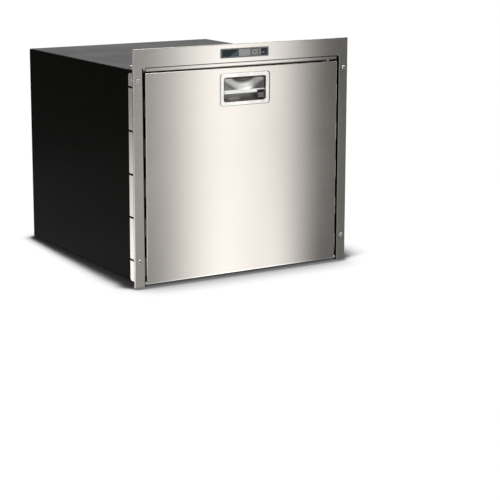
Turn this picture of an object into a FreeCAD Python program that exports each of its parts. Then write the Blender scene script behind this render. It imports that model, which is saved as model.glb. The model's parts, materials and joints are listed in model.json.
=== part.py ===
import FreeCAD, Part
import math
import os

os.makedirs("parts", exist_ok=True)

V = FreeCAD.Vector
X_AXIS = V(1, 0, 0)
Y_AXIS = V(0, 1, 0)
Z_AXIS = V(0, 0, 1)

# Overall sizes
frame_width = 592.0
frame_height = 555.0
frame_to_rear = 640.0
foot_height = 3.0
leg_width = 26.0
frame_rise = 54.0
machine_depth = 154.8

# Sheet and wall thicknesses
frame_sheet = 1.5
flange_sheet = 1.5
casing_sheet = 1.2
pan_sheet = 1.5
back_sheet = 1.2
skin_sheet = 1.0
rail_sheet = 1.5
bracket_sheet = 1.5
liner_wall = 2.0
bin_wall = 2.5
cup_wall = 2.0

# Clearances
face_gap = 0.3
run_gap = 0.05
rail_gap = 0.5
slot_gap = 0.5
cut_over = 1.0

# Front frame
frame_return = 5.0
frame_bend = 1.2
lip_height = 10.3
lip_step = 1.2
lip_lean = 0.8
lip_raise = 3.0
lip_lap = 4.0
rabbet_depth = 12.0
top_return_depth = 79.0
frame_screw_edge = 12.0
frame_screw_low = 62.5
frame_screw_drop = 72.5
frame_screw_head_r = 4.7
frame_screw_head_h = 2.6
frame_screw_neck_r = 2.6
frame_screw_shank_r = 2.4
frame_screw_length = 30.0

# Side flanges
flange_depth = 74.3
shoulder_depth = 40.0
flange_top_gap = 7.0
flange_foot_gap = 2.5
flange_corner_r = 8.0
slit_count = 5
slit_low = 51.5
slit_drop = 32.5
slit_height = 5.0
slit_front = 57.0
window_low = 44.5
window_drop = 75.5
window_height = 44.0
window_near = 6.0
window_far = 26.0

# Casing, base pan and back panel
body_setback = 50.0
casing_bend = 4.0
casing_return = 14.0
casing_screw_edge = 33.5
casing_screw_y = 128.5
casing_screw_head_r = 4.2
casing_screw_head_h = 2.2
casing_screw_shank_r = 1.9
casing_screw_length = 12.0
pan_flange = 18.0
pan_slot_count = 5
pan_slot_length = 60.0
pan_slot_width = 6.0
pan_slot_pitch = 18.0
back_recess = 4.0
grille_columns = 14
grille_pitch = 16.0
grille_slot_width = 6.0
grille_slot_height = 90.0
grille_low = 30.0
grille_drop = 31.0
gland_x = -200.0
gland_height = 60.0
gland_hole_r = 8.0
gland_bore_r = 3.5
gland_flange_r = 12.0

# Insulated box
rear_insulation = 38.0
side_insulation = 47.3
floor_insulation = 48.5
ceiling_insulation = 48.8
cavity_corner_r = 15.0

# Drawer front
door_side_gap = 5.0
door_bottom = 4.5
door_top_gap = 1.7
door_depth = 40.0
door_bend = 2.0
door_panel_wall = 2.5
door_plateau = 4.0
door_plateau_inset = 8.0
gasket_width = 15.0
gasket_inset = 20.0
gasket_corner_r = 12.0
guide_gap = 2.0
guide_height = 7.0
guide_depth = 12.0

# Latch
bezel_width = 134.0
bezel_height = 75.7
bezel_drop = 51.4
bezel_proud = 3.0
bezel_corner_r = 6.0
bezel_edge_r = 1.4
bezel_side = 9.4
bezel_end = 9.45
latch_opening_rise = 0.9
latch_opening_corner_r = 4.0
cup_depth = 22.0
cup_floor_r = 9.0
pin_r = 1.8
paddle_barrel_r = 3.8
paddle_pin_setback = 14.0
paddle_pin_drop = 6.2
paddle_side_gap = 0.8
paddle_plate = 2.4
scoop_side = 2.8
scoop_half_height = 24.0
scoop_depth = 8.0
scoop_drop = 8.0
paddle_bar_height = 9.0
paddle_bar_depth = 7.0
paddle_bar_setback = 1.5
paddle_bar_drop = 31.7
paddle_bar_gap = 3.0
paddle_turn = 16.0
arm_width = 8.0
arm_height = 5.0
arm_pin_r = 1.5
bolt_width = 18.0
bolt_depth = 8.0
bolt_tail = 14.0
bolt_gap = 1.5
lock_edge = 10.6
lock_knob_width = 16.0
lock_knob_height = 12.0
lock_knob_depth = 12.0
lock_knob_low = 3.0
lock_stem_width = 5.0
lock_rod_width = 8.0
lock_rod_depth = 5.0
lock_travel = 7.0

# Control panel
control_width = 132.0
control_height = 21.6
control_drop = 21.6
control_proud = 1.0
control_rim = 1.6
control_ring = 2.2
control_depth = 24.0
control_wall = 1.2
control_face = 2.8
control_sink = 0.6
window_thickness = 1.2
plate_thickness = 0.6
window_margin = 0.4
window_fit = 0.1
panel_end = 4.0
display_width = 45.4
status_width = 16.5
status_gap = 1.7
step_width = 9.5
step_split = 0.5
button_gap = 1.1
set_width = 12.8
button_margin = 1.7
strip_width = 5.4
button_proud = 0.4
button_length = 5.2
button_rim = 0.5
button_travel = 0.8
board_setback = 8.0
board_thickness = 1.6
switch_size = 5.0
cover_thickness = 1.4

# Runners, brackets and bin
runner_height = 46.0
runner_depth = 13.0
runner_front_gap = 12.0
runner_rear_gap = 13.0
bracket_above = 30.0
bracket_below = 140.0
bracket_tail = 25.0
bracket_nose = 50.0
bracket_slope = 90.0
bracket_ledge = 11.0
bracket_tab = 28.0
bin_rim_height = 5.0
bin_rim_width = 7.0
bin_height = 300.0
bin_floor_gap = 30.0
bin_side_draft = 16.0
bin_end_draft = 14.0
bin_front_gap = 1.0
bin_rear_gap = 12.9
bin_corner_r = 22.0
bin_side_gap = 1.5

# Cooling unit
evaporator_side_gap = 30.0
evaporator_height = 330.0
evaporator_sheet = 1.6
evaporator_standoff = 6.0
evaporator_rows = 8
evaporator_ridge_r = 3.0
evaporator_boss_r = 5.0
probe_r = 3.0
probe_length = 40.0
compressor_x = -120.0
compressor_r = 64.0
compressor_lower = 62.0
compressor_upper = 60.0
compressor_base_r = 42.0
seam_width = 4.0
seam_thickness = 3.0
mount_width = 176.0
mount_length = 116.0
mount_thickness = 3.0
mount_corner_r = 14.0
grommet_height = 14.0
grommet_r = 9.0
grommet_inset = 14.0
pipe_r = 4.0
capillary_r = 1.5
pipe_bend_r = 12.0
stub_length = 14.0
controller_width = 40.0
controller_length = 96.0
controller_height = 62.0
controller_gap = 4.0
fan_x = 130.0
fan_size = 130.0
fan_depth = 24.0
fan_setback = 89.4
fan_wall = 8.0
fan_tip_gap = 1.5
fan_hub_r = 21.0
fan_blades = 7
fan_blade_sheet = 1.6
fan_shaft_r = 2.5
fan_motor_r = 18.0
fan_motor_depth = 12.0
fan_arm_width = 8.0
fan_arm_depth = 3.0
fin_count = 10
fin_pitch = 13.0
fin_sheet = 0.8
fin_depth = 36.0
fin_gap = 4.0
coil_runs = 4
coil_pitch = 30.0
coil_low = 24.0
fin_hole_gap = 0.2
drier_r = 9.0
drier_length = 80.0
drier_neck = 10.0
drier_height = 62.0
drier_gap = 32.0
drier_setback = 16.0
suction_x = 150.0
suction_drop = 60.0
suction_level = 220.0
suction_riser_gap = 20.0
suction_setback = 33.0
discharge_offset = 25.0
discharge_rise = 27.5
discharge_riser_gap = 22.0
capillary_level = 236.0
capillary_entry = 20.0
coil_tail = 13.0

# Feet
foot_r = 14.0
foot_inset_x = 40.0
foot_inset_y = 45.0
foot_chamfer = 1.0

# Planes and edges that several pieces share
front_y = bezel_proud - (frame_to_rear + bezel_proud) / 2
rear_y = front_y + frame_to_rear
base_z = foot_height
body_y = front_y + body_setback
frame_half = frame_width / 2
casing_half = frame_half - leg_width - flange_sheet
casing_inner = casing_half - casing_sheet
frame_top = base_z + frame_height
casing_top = frame_top - frame_rise
casing_ceiling = casing_top - casing_sheet
leg_inner = casing_half + flange_sheet
crease_z = casing_top + lip_height
frame_screw_x = frame_half - frame_screw_edge
frame_screw_z = (base_z + frame_screw_low, frame_top - frame_screw_drop)
flange_top = casing_top - flange_top_gap
flange_foot = leg_width - frame_sheet - flange_foot_gap
casing_screw_x = casing_half - casing_screw_edge
slit_pitch = (flange_top - base_z - slit_low - slit_drop) / (slit_count - 1)
window_pitch = (flange_top - base_z - window_low - window_drop) / (slit_count - 1)
back_y = rear_y - back_recess
back_inner_y = back_y - back_sheet
pan_floor = base_z + pan_sheet
foam_front = body_y + liner_wall
foam_rear = back_inner_y - machine_depth
cavity_half = casing_inner - side_insulation
cavity_floor = pan_floor + floor_insulation
cavity_ceiling = casing_ceiling - ceiling_insulation
cavity_rear = foam_rear - rear_insulation - liner_wall
door_half = leg_inner - door_side_gap
door_low = base_z + door_bottom
door_high = casing_top - door_top_gap
door_back = front_y + door_depth
guide_width = door_side_gap - guide_gap
bezel_z = door_high - bezel_drop
opening_z = bezel_z + latch_opening_rise
opening_half = bezel_width / 2 - bezel_side
opening_half_height = bezel_height / 2 - bezel_end
opening_top = opening_z + opening_half_height
opening_low = opening_z - opening_half_height
paddle_half = opening_half - paddle_side_gap
paddle_face = front_y + paddle_bar_setback
pin_y = front_y + paddle_pin_setback
pin_z = opening_top - paddle_pin_drop
cup_back = front_y + cup_depth + cup_wall
bolt_y = cup_back + bolt_gap + bolt_depth / 2
arm_reach = bolt_y - pin_y
bolt_travel = arm_reach * math.radians(paddle_turn)
lock_x = opening_half - lock_edge
paddle_bar_right = lock_x - lock_knob_width / 2 - paddle_bar_gap
rod_y = (cup_back + slot_gap, cup_back + slot_gap + lock_rod_depth)
ledge_z = cavity_floor + bin_floor_gap + bin_height
runner_z = ledge_z - bracket_above
runner_y = (body_y + runner_front_gap, cavity_rear - runner_rear_gap)
bracket_x = cavity_half - runner_depth - rail_gap
machine_mid = (foam_rear + back_inner_y) / 2
fan_z = pan_floor + fan_size / 2
fan_face_y = back_inner_y - fan_setback
fan_duct_r = fan_size / 2 - fan_wall
fin_front = fan_face_y + fan_depth + fin_gap
coil_y = fin_front + fin_depth / 2
control_z = frame_top - control_drop
tab_y = door_back + door_plateau
bin_half = bracket_x - bracket_ledge - bin_side_gap
evaporator_rear = cavity_rear - evaporator_standoff
evaporator_front = evaporator_rear - evaporator_sheet
bin_front_y = tab_y + bracket_sheet + bin_front_gap + bin_rim_width
bin_rear_y = evaporator_front - evaporator_ridge_r - bin_rear_gap - bin_rim_width
bin_y = (bin_front_y, bin_rear_y)
control_face_y = front_y - control_proud + control_sink
suction_z = cavity_ceiling - suction_drop
capillary_z = base_z + capillary_level
drier_y = back_inner_y - drier_setback
coil_start = fan_x - fan_size / 2 - coil_tail
drier_x = coil_start - drier_gap
mount_top = pan_floor + grommet_height + mount_thickness
seam_z = mount_top + compressor_lower
suction_stub_z = seam_z + compressor_upper / 4
knob_z = opening_low + lock_knob_low + lock_knob_height / 2
window_half_height = control_height / 2 - control_ring - window_margin
button_half_height = window_half_height - button_margin
display_left = panel_end - control_width / 2
display_right = display_left + display_width
status_right = control_width / 2 - panel_end
status_left = status_right - status_width
step_right = status_left - status_gap
step_left = step_right - step_width
set_right = step_left - button_gap
set_left = set_right - set_width
plate_right = set_left - strip_width


# Shape helpers
def box(x, y, z):
    return Part.makeBox(x[1] - x[0], y[1] - y[0], z[1] - z[0], V(x[0], y[0], z[0]))


def about(centre, half):
    return (centre - half, centre + half)


def edges_along(shape, axis):
    lines = [edge for edge in shape.Edges if edge.Curve.TypeId == "Part::GeomLine"]
    return [edge for edge in lines if abs(edge.tangentAt(edge.FirstParameter).dot(axis)) > 0.999]


def edges_on_y(shape, y):
    return [edge for edge in shape.Edges if all(abs(v.Y - y) < 0.01 for v in edge.Vertexes)]


def rounded_box(x, y, z, radius, axis):
    block = box(x, y, z)
    return block.makeFillet(radius, edges_along(block, axis))


def rod(start, direction, length, radius):
    return Part.makeCylinder(radius, length, start, direction)


def prism(points, travel):
    wire = Part.makePolygon(points + [points[0]])
    return Part.Face(wire).extrude(travel)


def yz_prism(points, x):
    return prism([V(x[0], y, z) for y, z in points], V(x[1] - x[0], 0, 0))


def xz_prism(points, y):
    return prism([V(x, y[0], z) for x, z in points], V(0, y[1] - y[0], 0))


def mirrored(shape):
    return shape.mirror(V(0, 0, 0), X_AXIS)


def fuse_all(shapes):
    return shapes[0].multiFuse(shapes[1:]).removeSplitter()


def cut_all(shape, tools):
    return shape.cut(tools).removeSplitter()


def revolved(points, centre, axis):
    face = Part.Face(Part.makePolygon(points + [points[0]]))
    return face.revolve(centre, axis, 360)


def tube(points, radius, bend):
    edges = []
    last = points[0]
    for before, corner, after in zip(points, points[1:], points[2:]):
        into = (corner - before).normalize()
        out = (after - corner).normalize()
        half_turn = into.getAngle(out) / 2
        start = corner - into * (bend * math.tan(half_turn))
        end = corner + out * (bend * math.tan(half_turn))
        inward = (out - into).normalize()
        middle = corner + inward * (bend / math.cos(half_turn) - bend)
        if start.distanceToPoint(last) > 0.001:
            edges.append(Part.LineSegment(last, start).toShape())
        edges.append(Part.Arc(start, middle, end).toShape())
        last = end
    edges.append(Part.LineSegment(last, points[-1]).toShape())
    ring = Part.Wire(Part.makeCircle(radius, points[0], points[1] - points[0]))
    shell = Part.BRepOffsetAPI.MakePipeShell(Part.Wire(edges))
    shell.add(ring)
    shell.build()
    shell.makeSolid()
    return shell.shape()


def pan_screw(x, y, z, direction, head_r, head_h, shank_r, length):
    # A low domed head on a plain shank, with a cross recess; direction points out of the head
    seat = V(x, y, z)
    head = Part.makeCylinder(head_r, head_h, seat, direction)
    crown = seat + direction * head_h
    rim = [edge for edge in head.Edges if edge.CenterOfMass.distanceToPoint(crown) < 0.01]
    head = head.makeFillet(head_h * 0.6, rim)
    shank = Part.makeCylinder(shank_r, length, seat, direction * -1)
    blade = (head_r * 0.62, head_r * 0.16)
    recess = []
    for turn in (40, 130):
        slot = Part.makeBox(blade[0] * 2, blade[1] * 2, head_h, V(-blade[0], -blade[1], 0))
        slot.rotate(V(0, 0, 0), Z_AXIS, turn)
        slot.Placement = FreeCAD.Placement(
            seat + direction * (head_h * 0.5), FreeCAD.Rotation(Z_AXIS, direction)
        ).multiply(slot.Placement)
        recess.append(slot)
    return head.fuse(shank).cut(recess).removeSplitter()


# Front frame and the flanges that tie it to the casing
def frame_screw_places():
    return [(x, z) for x in (-frame_screw_x, frame_screw_x) for z in frame_screw_z]


def front_frame():
    depth = (front_y, front_y + frame_return)
    through = (front_y - cut_over, front_y + frame_return + cut_over)
    tray = box((-frame_half, frame_half), depth, (base_z, frame_top))
    bends = []
    for edge in edges_on_y(tray, front_y):
        if edge.CenterOfMass.z > base_z + cut_over:
            bends.append(edge)
    tray = tray.makeFillet(frame_bend, bends)
    inside = about(0, frame_half - frame_sheet)
    hollow = box(inside, (front_y + frame_sheet, through[1]), (base_z - cut_over, frame_top - frame_sheet))
    doorway = box(about(0, leg_inner), through, (base_z - cut_over, crease_z))
    back = front_y + top_return_depth
    lip_y = front_y + lip_step
    lip_low = casing_top + lip_raise
    rabbet_y = front_y + rabbet_depth
    # The lip laps behind the bar, folds back over the door and steps down onto the casing
    lip = [
        (lip_y, crease_z + lip_lap),
        (lip_y, crease_z),
        (lip_y - lip_lean, lip_low),
        (rabbet_y, lip_low),
        (rabbet_y, casing_top),
        (back, casing_top),
        (back, casing_top + frame_sheet),
        (rabbet_y + frame_sheet, casing_top + frame_sheet),
        (rabbet_y + frame_sheet, lip_low + frame_sheet),
        (lip_y + frame_sheet, lip_low + frame_sheet),
        (lip_y + frame_sheet, crease_z + lip_lap),
    ]
    frame = tray.cut([hollow, doorway]).fuse(yz_prism(lip, about(0, door_half)))
    window_x = about(0, control_width / 2 - control_rim + face_gap)
    window_z = about(control_z, control_height / 2 - control_rim + face_gap)
    cuts = [box(window_x, through, window_z)]
    slot_z = (casing_top - cut_over, casing_top + frame_sheet + cut_over)
    cuts.append(box(about(0, bolt_width / 2 + slot_gap), about(bolt_y, bolt_depth / 2 + slot_gap), slot_z))
    rod_slot_y = (rod_y[0] - slot_gap, rod_y[1] + slot_gap)
    cuts.append(box(about(lock_x, lock_rod_width / 2 + slot_gap), rod_slot_y, slot_z))
    for x, z in frame_screw_places():
        cuts.append(rod(V(x, through[0], z), Y_AXIS, through[1] - through[0], frame_screw_neck_r + face_gap))
    return cut_all(frame, cuts)


def side_flange():
    depth = (front_y + frame_sheet, front_y + flange_depth)
    height = (base_z, flange_top)
    web = box((casing_half, leg_inner), depth, height)
    heel = [edge for edge in edges_along(web, X_AXIS) if edge.CenterOfMass.y > depth[1] - cut_over]
    web = web.makeFillet(flange_corner_r, heel)
    shoulder_y = (depth[0], front_y + shoulder_depth)
    shoulder = box((casing_half, leg_inner), shoulder_y, (base_z, crease_z - slot_gap))
    foot = box((casing_half, leg_inner + flange_foot), (depth[0], depth[0] + flange_sheet), height)
    cuts = []
    wall = (casing_half - cut_over, leg_inner + cut_over)
    for step in range(slit_count):
        slit_z = base_z + slit_low + step * slit_pitch
        cuts.append(box(wall, (front_y + slit_front, depth[1] + cut_over), about(slit_z, slit_height / 2)))
        slit_end = V(wall[0], front_y + slit_front, slit_z)
        cuts.append(rod(slit_end, X_AXIS, wall[1] - wall[0], slit_height / 2))
        window_z = base_z + window_low + step * window_pitch
        window_y = (front_y + window_near, front_y + window_far)
        cuts.append(box(wall, window_y, about(window_z, window_height / 2)))
    for x, z in frame_screw_places():
        cuts.append(rod(V(x, front_y, z), Y_AXIS, flange_depth, frame_screw_neck_r + face_gap))
    return cut_all(fuse_all([web, shoulder, foot]), cuts)


def frame_screws():
    screws = []
    for x, z in frame_screw_places():
        sizes = (frame_screw_head_r, frame_screw_head_h, frame_screw_shank_r, frame_screw_length)
        screw = pan_screw(x, front_y, z, V(0, -1, 0), *sizes)
        neck = rod(V(x, front_y, z), Y_AXIS, frame_sheet + flange_sheet + face_gap, frame_screw_neck_r)
        screws.append(fuse_all([screw, neck]))
    return Part.makeCompound(screws)


# Casing, base pan, back panel and feet
def casing_screw_places():
    return [(x, front_y + casing_screw_y) for x in (-casing_screw_x, casing_screw_x)]


def outer_casing():
    depth = (body_y, rear_y)
    wrap = box(about(0, casing_half), depth, (base_z, casing_top))
    tops = [edge for edge in edges_along(wrap, Y_AXIS) if edge.CenterOfMass.z > casing_top - cut_over]
    wrap = wrap.makeFillet(casing_bend, tops)
    through = (body_y - cut_over, rear_y + cut_over)
    hollow = box(about(0, casing_inner), through, (base_z - cut_over, casing_ceiling))
    tops = [edge for edge in edges_along(hollow, Y_AXIS) if edge.CenterOfMass.z > casing_ceiling - cut_over]
    hollow = hollow.makeFillet(casing_bend - casing_sheet, tops)
    wrap = wrap.cut(hollow)
    rim_y = (back_inner_y - casing_sheet, back_inner_y)
    rim_low = pan_floor + pan_flange + face_gap
    rim = box(about(0, casing_inner + casing_sheet / 2), rim_y, (rim_low, casing_ceiling + casing_sheet / 2))
    vent_z = (rim_low - cut_over, casing_ceiling - casing_return)
    vent = box(about(0, casing_inner - casing_return), through, vent_z)
    casing = wrap.fuse(rim.cut(vent))
    cuts = []
    for x, y in casing_screw_places():
        hole_r = casing_screw_shank_r + face_gap
        cuts.append(rod(V(x, y, casing_ceiling - cut_over), Z_AXIS, casing_sheet + 2 * cut_over, hole_r))
    for x, z in back_screw_places():
        cuts.append(back_screw_hole(x, z))
    return cut_all(casing, cuts)


def casing_screws():
    sizes = (casing_screw_head_r, casing_screw_head_h, casing_screw_shank_r, casing_screw_length)
    return Part.makeCompound([pan_screw(x, y, casing_top, Z_AXIS, *sizes) for x, y in casing_screw_places()])


def base_pan():
    depth = (foam_front, back_inner_y)
    tray = box(about(0, casing_inner), depth, (base_z, pan_floor + pan_flange))
    inside = about(0, casing_inner - pan_sheet)
    hollow = box(inside, (foam_front - cut_over, back_inner_y - pan_sheet), (pan_floor, casing_top))
    cuts = [hollow]
    first_x = fan_x - (pan_slot_count - 1) * pan_slot_pitch / 2
    for step in range(pan_slot_count):
        slot_y = about(fin_front + fan_depth / 3, pan_slot_length / 2)
        slot_x = about(first_x + step * pan_slot_pitch, pan_slot_width / 2)
        cuts.append(box(slot_x, slot_y, (base_z - cut_over, pan_floor + cut_over)))
    for x, z in back_screw_places():
        cuts.append(back_screw_hole(x, z))
    return cut_all(tray, cuts)


def back_screw_places():
    side = casing_inner - casing_return / 2
    low = pan_floor + pan_flange / 2
    high = casing_ceiling - casing_return / 2
    middle = (low + high) / 2
    return [(x, z) for x in (-side, side) for z in (low, middle, high)] + [(0, low), (0, high)]


def back_screw_hole(x, z):
    start = back_inner_y - casing_screw_length - cut_over
    return rod(V(x, start, z), Y_AXIS, back_y - start + cut_over, casing_screw_shank_r + face_gap)


def back_panel():
    panel = box(about(0, casing_inner), (back_inner_y, back_y), (base_z, casing_ceiling - casing_bend))
    through = (back_inner_y - cut_over, back_y + cut_over)
    cuts = []
    first_x = -(grille_columns - 1) * grille_pitch / 2
    for low in (base_z + grille_low, casing_top - grille_drop - grille_slot_height):
        for column in range(grille_columns):
            slot_x = about(first_x + column * grille_pitch, grille_slot_width / 2)
            cuts.append(box(slot_x, through, (low, low + grille_slot_height)))
    gland = V(gland_x, through[0], base_z + gland_height)
    cuts.append(rod(gland, Y_AXIS, back_sheet + 2 * cut_over, gland_hole_r))
    for x, z in back_screw_places():
        cuts.append(back_screw_hole(x, z))
    return cut_all(panel, cuts)


def back_panel_screws():
    head_h = back_recess * 0.6
    sizes = (casing_screw_head_r, head_h, casing_screw_shank_r, casing_screw_length)
    return Part.makeCompound([pan_screw(x, back_y, z, Y_AXIS, *sizes) for x, z in back_screw_places()])


def cable_gland():
    # A rubber grommet with a collar on each side of the sheet
    collar = back_recess / 2
    seat = V(gland_x, 0, base_z + gland_height)
    outline = [
        (gland_bore_r, back_inner_y - collar),
        (gland_flange_r, back_inner_y - collar),
        (gland_flange_r, back_inner_y),
        (gland_hole_r - run_gap, back_inner_y),
        (gland_hole_r - run_gap, back_y),
        (gland_flange_r, back_y),
        (gland_flange_r - collar / 2, back_y + collar),
        (gland_bore_r, back_y + collar),
    ]
    points = [V(gland_x + radius, y, seat.z) for radius, y in outline]
    return revolved(points, seat, Y_AXIS)


def feet():
    pads = []
    for x in (-casing_half + foot_inset_x, casing_half - foot_inset_x):
        for y in (body_y + foot_inset_y, rear_y - foot_inset_y):
            outline = [
                (0, 0),
                (foot_r - foot_chamfer, 0),
                (foot_r, foot_chamfer),
                (foot_r, foot_height),
                (0, foot_height),
            ]
            points = [V(x + radius, y, z) for radius, z in outline]
            pads.append(revolved(points, V(x, y, 0), Z_AXIS))
    return Part.makeCompound(pads)


# Insulated box
def liner_tub(extra):
    wall = liner_wall + extra
    depth = (body_y, cavity_rear + wall)
    height = (cavity_floor - wall, cavity_ceiling + wall)
    return rounded_box(about(0, cavity_half + wall), depth, height, cavity_corner_r + wall, Y_AXIS)


def suction_hole():
    start = V(suction_x, cavity_rear - cut_over, suction_z)
    return rod(start, Y_AXIS, foam_rear - cavity_rear + 2 * cut_over, pipe_r + face_gap)


def capillary_hole():
    depth = capillary_entry + face_gap
    return rod(V(drier_x, foam_rear - depth, capillary_z), Y_AXIS, depth + cut_over, capillary_r + face_gap)


def inner_liner():
    flange_z = (base_z, casing_ceiling)
    flange = rounded_box(about(0, casing_inner), (body_y, foam_front), flange_z, casing_bend, Y_AXIS)
    depth = (body_y - cut_over, cavity_rear)
    height = (cavity_floor, cavity_ceiling)
    cavity = rounded_box(about(0, cavity_half), depth, height, cavity_corner_r, Y_AXIS)
    return cut_all(flange.fuse(liner_tub(0)), [cavity, suction_hole()])


def insulation_foam():
    block = box(about(0, casing_inner), (foam_front, foam_rear), (pan_floor, casing_ceiling))
    tops = [edge for edge in edges_along(block, Y_AXIS) if edge.CenterOfMass.z > casing_ceiling - cut_over]
    block = block.makeFillet(casing_bend, tops)
    rebate = box((casing_inner - pan_sheet, casing_half), (body_y, rear_y), (base_z, pan_floor + pan_flange))
    cuts = [liner_tub(face_gap), rebate, mirrored(rebate), suction_hole(), capillary_hole()]
    for x, y in casing_screw_places():
        reach = casing_screw_length + face_gap
        cuts.append(rod(V(x, y, casing_top - reach), Z_AXIS, reach, casing_screw_shank_r + face_gap))
    return cut_all(block, cuts)


# Drawer front
def latch_opening():
    return rounded_box(
        about(0, opening_half + cup_wall + face_gap),
        (front_y - cut_over, cup_back + face_gap),
        about(opening_z, opening_half_height + cup_wall + face_gap),
        latch_opening_corner_r + cup_wall + face_gap,
        Y_AXIS,
    )


def bolt_channel(gap, low):
    across = about(0, bolt_width / 2 + gap)
    return box(across, about(bolt_y, bolt_depth / 2 + gap), (low, door_high + cut_over))


def lock_channel(gap, low):
    across = about(lock_x, lock_rod_width / 2 + gap)
    return box(across, (rod_y[0] - gap, rod_y[1] + gap), (low, door_high + cut_over))


def door_skin():
    tray = box(about(0, door_half), (front_y, door_back), (door_low, door_high))
    tray = tray.makeFillet(door_bend, edges_on_y(tray, front_y))
    inside = about(0, door_half - skin_sheet)
    depth = (front_y + skin_sheet, door_back + cut_over)
    hollow = box(inside, depth, (door_low + skin_sheet, door_high - skin_sheet))
    hollow = hollow.makeFillet(door_bend - skin_sheet, edges_on_y(hollow, depth[0]))
    fold = door_high - skin_sheet - cut_over
    cuts = [hollow, latch_opening(), bolt_channel(slot_gap, fold), lock_channel(slot_gap, fold)]
    return cut_all(tray, cuts)


def door_foam():
    depth = (front_y + skin_sheet, door_back - door_panel_wall)
    block = box(about(0, door_half - skin_sheet), depth, (door_low + skin_sheet, door_high - skin_sheet))
    block = block.makeFillet(door_bend, edges_on_y(block, depth[0]))
    room = 2 * slot_gap
    bolt_low = pin_z - bolt_tail - bolt_travel - room
    lock_low = knob_z - lock_knob_height / 2 - room
    arm_way = box(about(0, bolt_width / 2 + room), (cup_back, bolt_y), (bolt_low, door_high))
    ways = [bolt_channel(room, bolt_low), arm_way, lock_channel(room, lock_low)]
    return cut_all(block, [latch_opening()] + ways)


def bracket_screw_places():
    x = bracket_x - bracket_tab / 2
    low = runner_z - bracket_below
    span = bracket_above + bracket_below
    heights = [low + span * share for share in (0.12, 0.5, 0.88)]
    return [(side * x, z) for side in (-1, 1) for z in heights]


def bracket_screw_hole(x, z):
    start = tab_y - casing_screw_length / 2 - face_gap
    return rod(V(x, start, z), Y_AXIS, casing_screw_length, casing_screw_shank_r + face_gap)


def door_inner_panel():
    inside = about(0, door_half - skin_sheet)
    sheet_z = (door_low + skin_sheet, door_high - skin_sheet)
    sheet = box(inside, (door_back - door_panel_wall, door_back), sheet_z)
    plateau_z = (cavity_floor + door_plateau_inset, cavity_ceiling - door_plateau_inset)
    plateau_x = about(0, cavity_half - door_plateau_inset)
    plateau = rounded_box(plateau_x, (door_back, tab_y), plateau_z, cavity_corner_r, Y_AXIS)
    return cut_all(sheet.fuse(plateau), [bracket_screw_hole(x, z) for x, z in bracket_screw_places()])


def bracket_screws():
    sizes = (casing_screw_head_r, casing_screw_head_h, casing_screw_shank_r, casing_screw_length / 2)
    face = tab_y + bracket_sheet
    return Part.makeCompound([pan_screw(x, face, z, Y_AXIS, *sizes) for x, z in bracket_screw_places()])


def gasket_block(reach, radius, depth):
    height = (cavity_floor - reach, cavity_ceiling + reach)
    return rounded_box(about(0, cavity_half + reach), depth, height, radius, Y_AXIS)


def door_gasket():
    depth = (door_back, body_y - face_gap)
    through = (depth[0] - cut_over, depth[1] + cut_over)
    outer_reach = gasket_inset + gasket_width
    outer = gasket_block(outer_reach, gasket_corner_r + gasket_width, depth)
    # A groove round the outside leaves the foot, the bellows and the magnet tube
    middle = (depth[0] + depth[1]) / 2
    groove = (middle - gasket_width / 8, middle + gasket_width / 8)
    sleeve = gasket_block(outer_reach + cut_over, gasket_corner_r + gasket_width, groove)
    core_reach = outer_reach - gasket_width / 4
    core = gasket_block(core_reach, gasket_corner_r + gasket_width * 0.75, groove)
    inner = gasket_block(gasket_inset, gasket_corner_r, through)
    return cut_all(outer, [sleeve.cut(core), inner])


def corner_guides():
    low = door_low
    slope = guide_width * 0.7
    outline = [
        (door_half, low),
        (door_half + guide_width, low + slope),
        (door_half + guide_width, low + guide_height - slope),
        (door_half, low + guide_height),
    ]
    guide = xz_prism(outline, (front_y + door_bend, front_y + door_bend + guide_depth))
    return Part.makeCompound([guide, mirrored(guide)])


# Latch
def latch_cup():
    bezel_x = about(0, bezel_width / 2)
    bezel_face = front_y - bezel_proud
    bezel_tall = about(bezel_z, bezel_height / 2)
    bezel = rounded_box(bezel_x, (bezel_face, front_y), bezel_tall, bezel_corner_r, Y_AXIS)
    bezel = bezel.makeFillet(bezel_edge_r, edges_on_y(bezel, bezel_face))
    tub_x = about(0, opening_half + cup_wall)
    tub_z = about(opening_z, opening_half_height + cup_wall)
    tub = rounded_box(tub_x, (front_y, cup_back), tub_z, latch_opening_corner_r + cup_wall, Y_AXIS)
    depth = (bezel_face - cut_over, front_y + cup_depth)
    mouth_z = (opening_low, opening_top)
    mouth = rounded_box(about(0, opening_half), depth, mouth_z, latch_opening_corner_r, Y_AXIS)
    dish = box(about(0, opening_half), depth, mouth_z)
    floor = [edge for edge in edges_along(dish, X_AXIS) if edge.CenterOfMass.y > depth[1] - cut_over]
    dish = dish.makeFillet(cup_floor_r, floor)
    wall_y = (front_y + cup_depth - cup_floor_r, cup_back + cut_over)
    arm_z = (pin_z - bolt_travel - arm_height / 2 - slot_gap, pin_z + arm_height / 2 + slot_gap)
    arm_slot = box(about(0, arm_width / 2 + slot_gap), wall_y, arm_z)
    stem_half = lock_knob_height / 4
    stem_z = (knob_z - stem_half - slot_gap, knob_z + stem_half + lock_travel + slot_gap)
    stem_slot = box(about(lock_x, lock_stem_width / 2 + slot_gap), wall_y, stem_z)
    reach = opening_half + cup_wall + cut_over
    pin_hole = rod(V(-reach, pin_y, pin_z), X_AXIS, 2 * reach, pin_r + run_gap)
    return cut_all(bezel.fuse(tub), [mouth.common(dish), arm_slot, stem_slot, pin_hole])


def paddle_pin():
    reach = opening_half + cup_wall
    return rod(V(-reach, pin_y, pin_z), X_AXIS, 2 * reach, pin_r)


def dish_radius(half_width):
    # The arc that is scoop_depth deep over this half width
    return (half_width**2 + scoop_depth**2) / (2 * scoop_depth)


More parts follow.
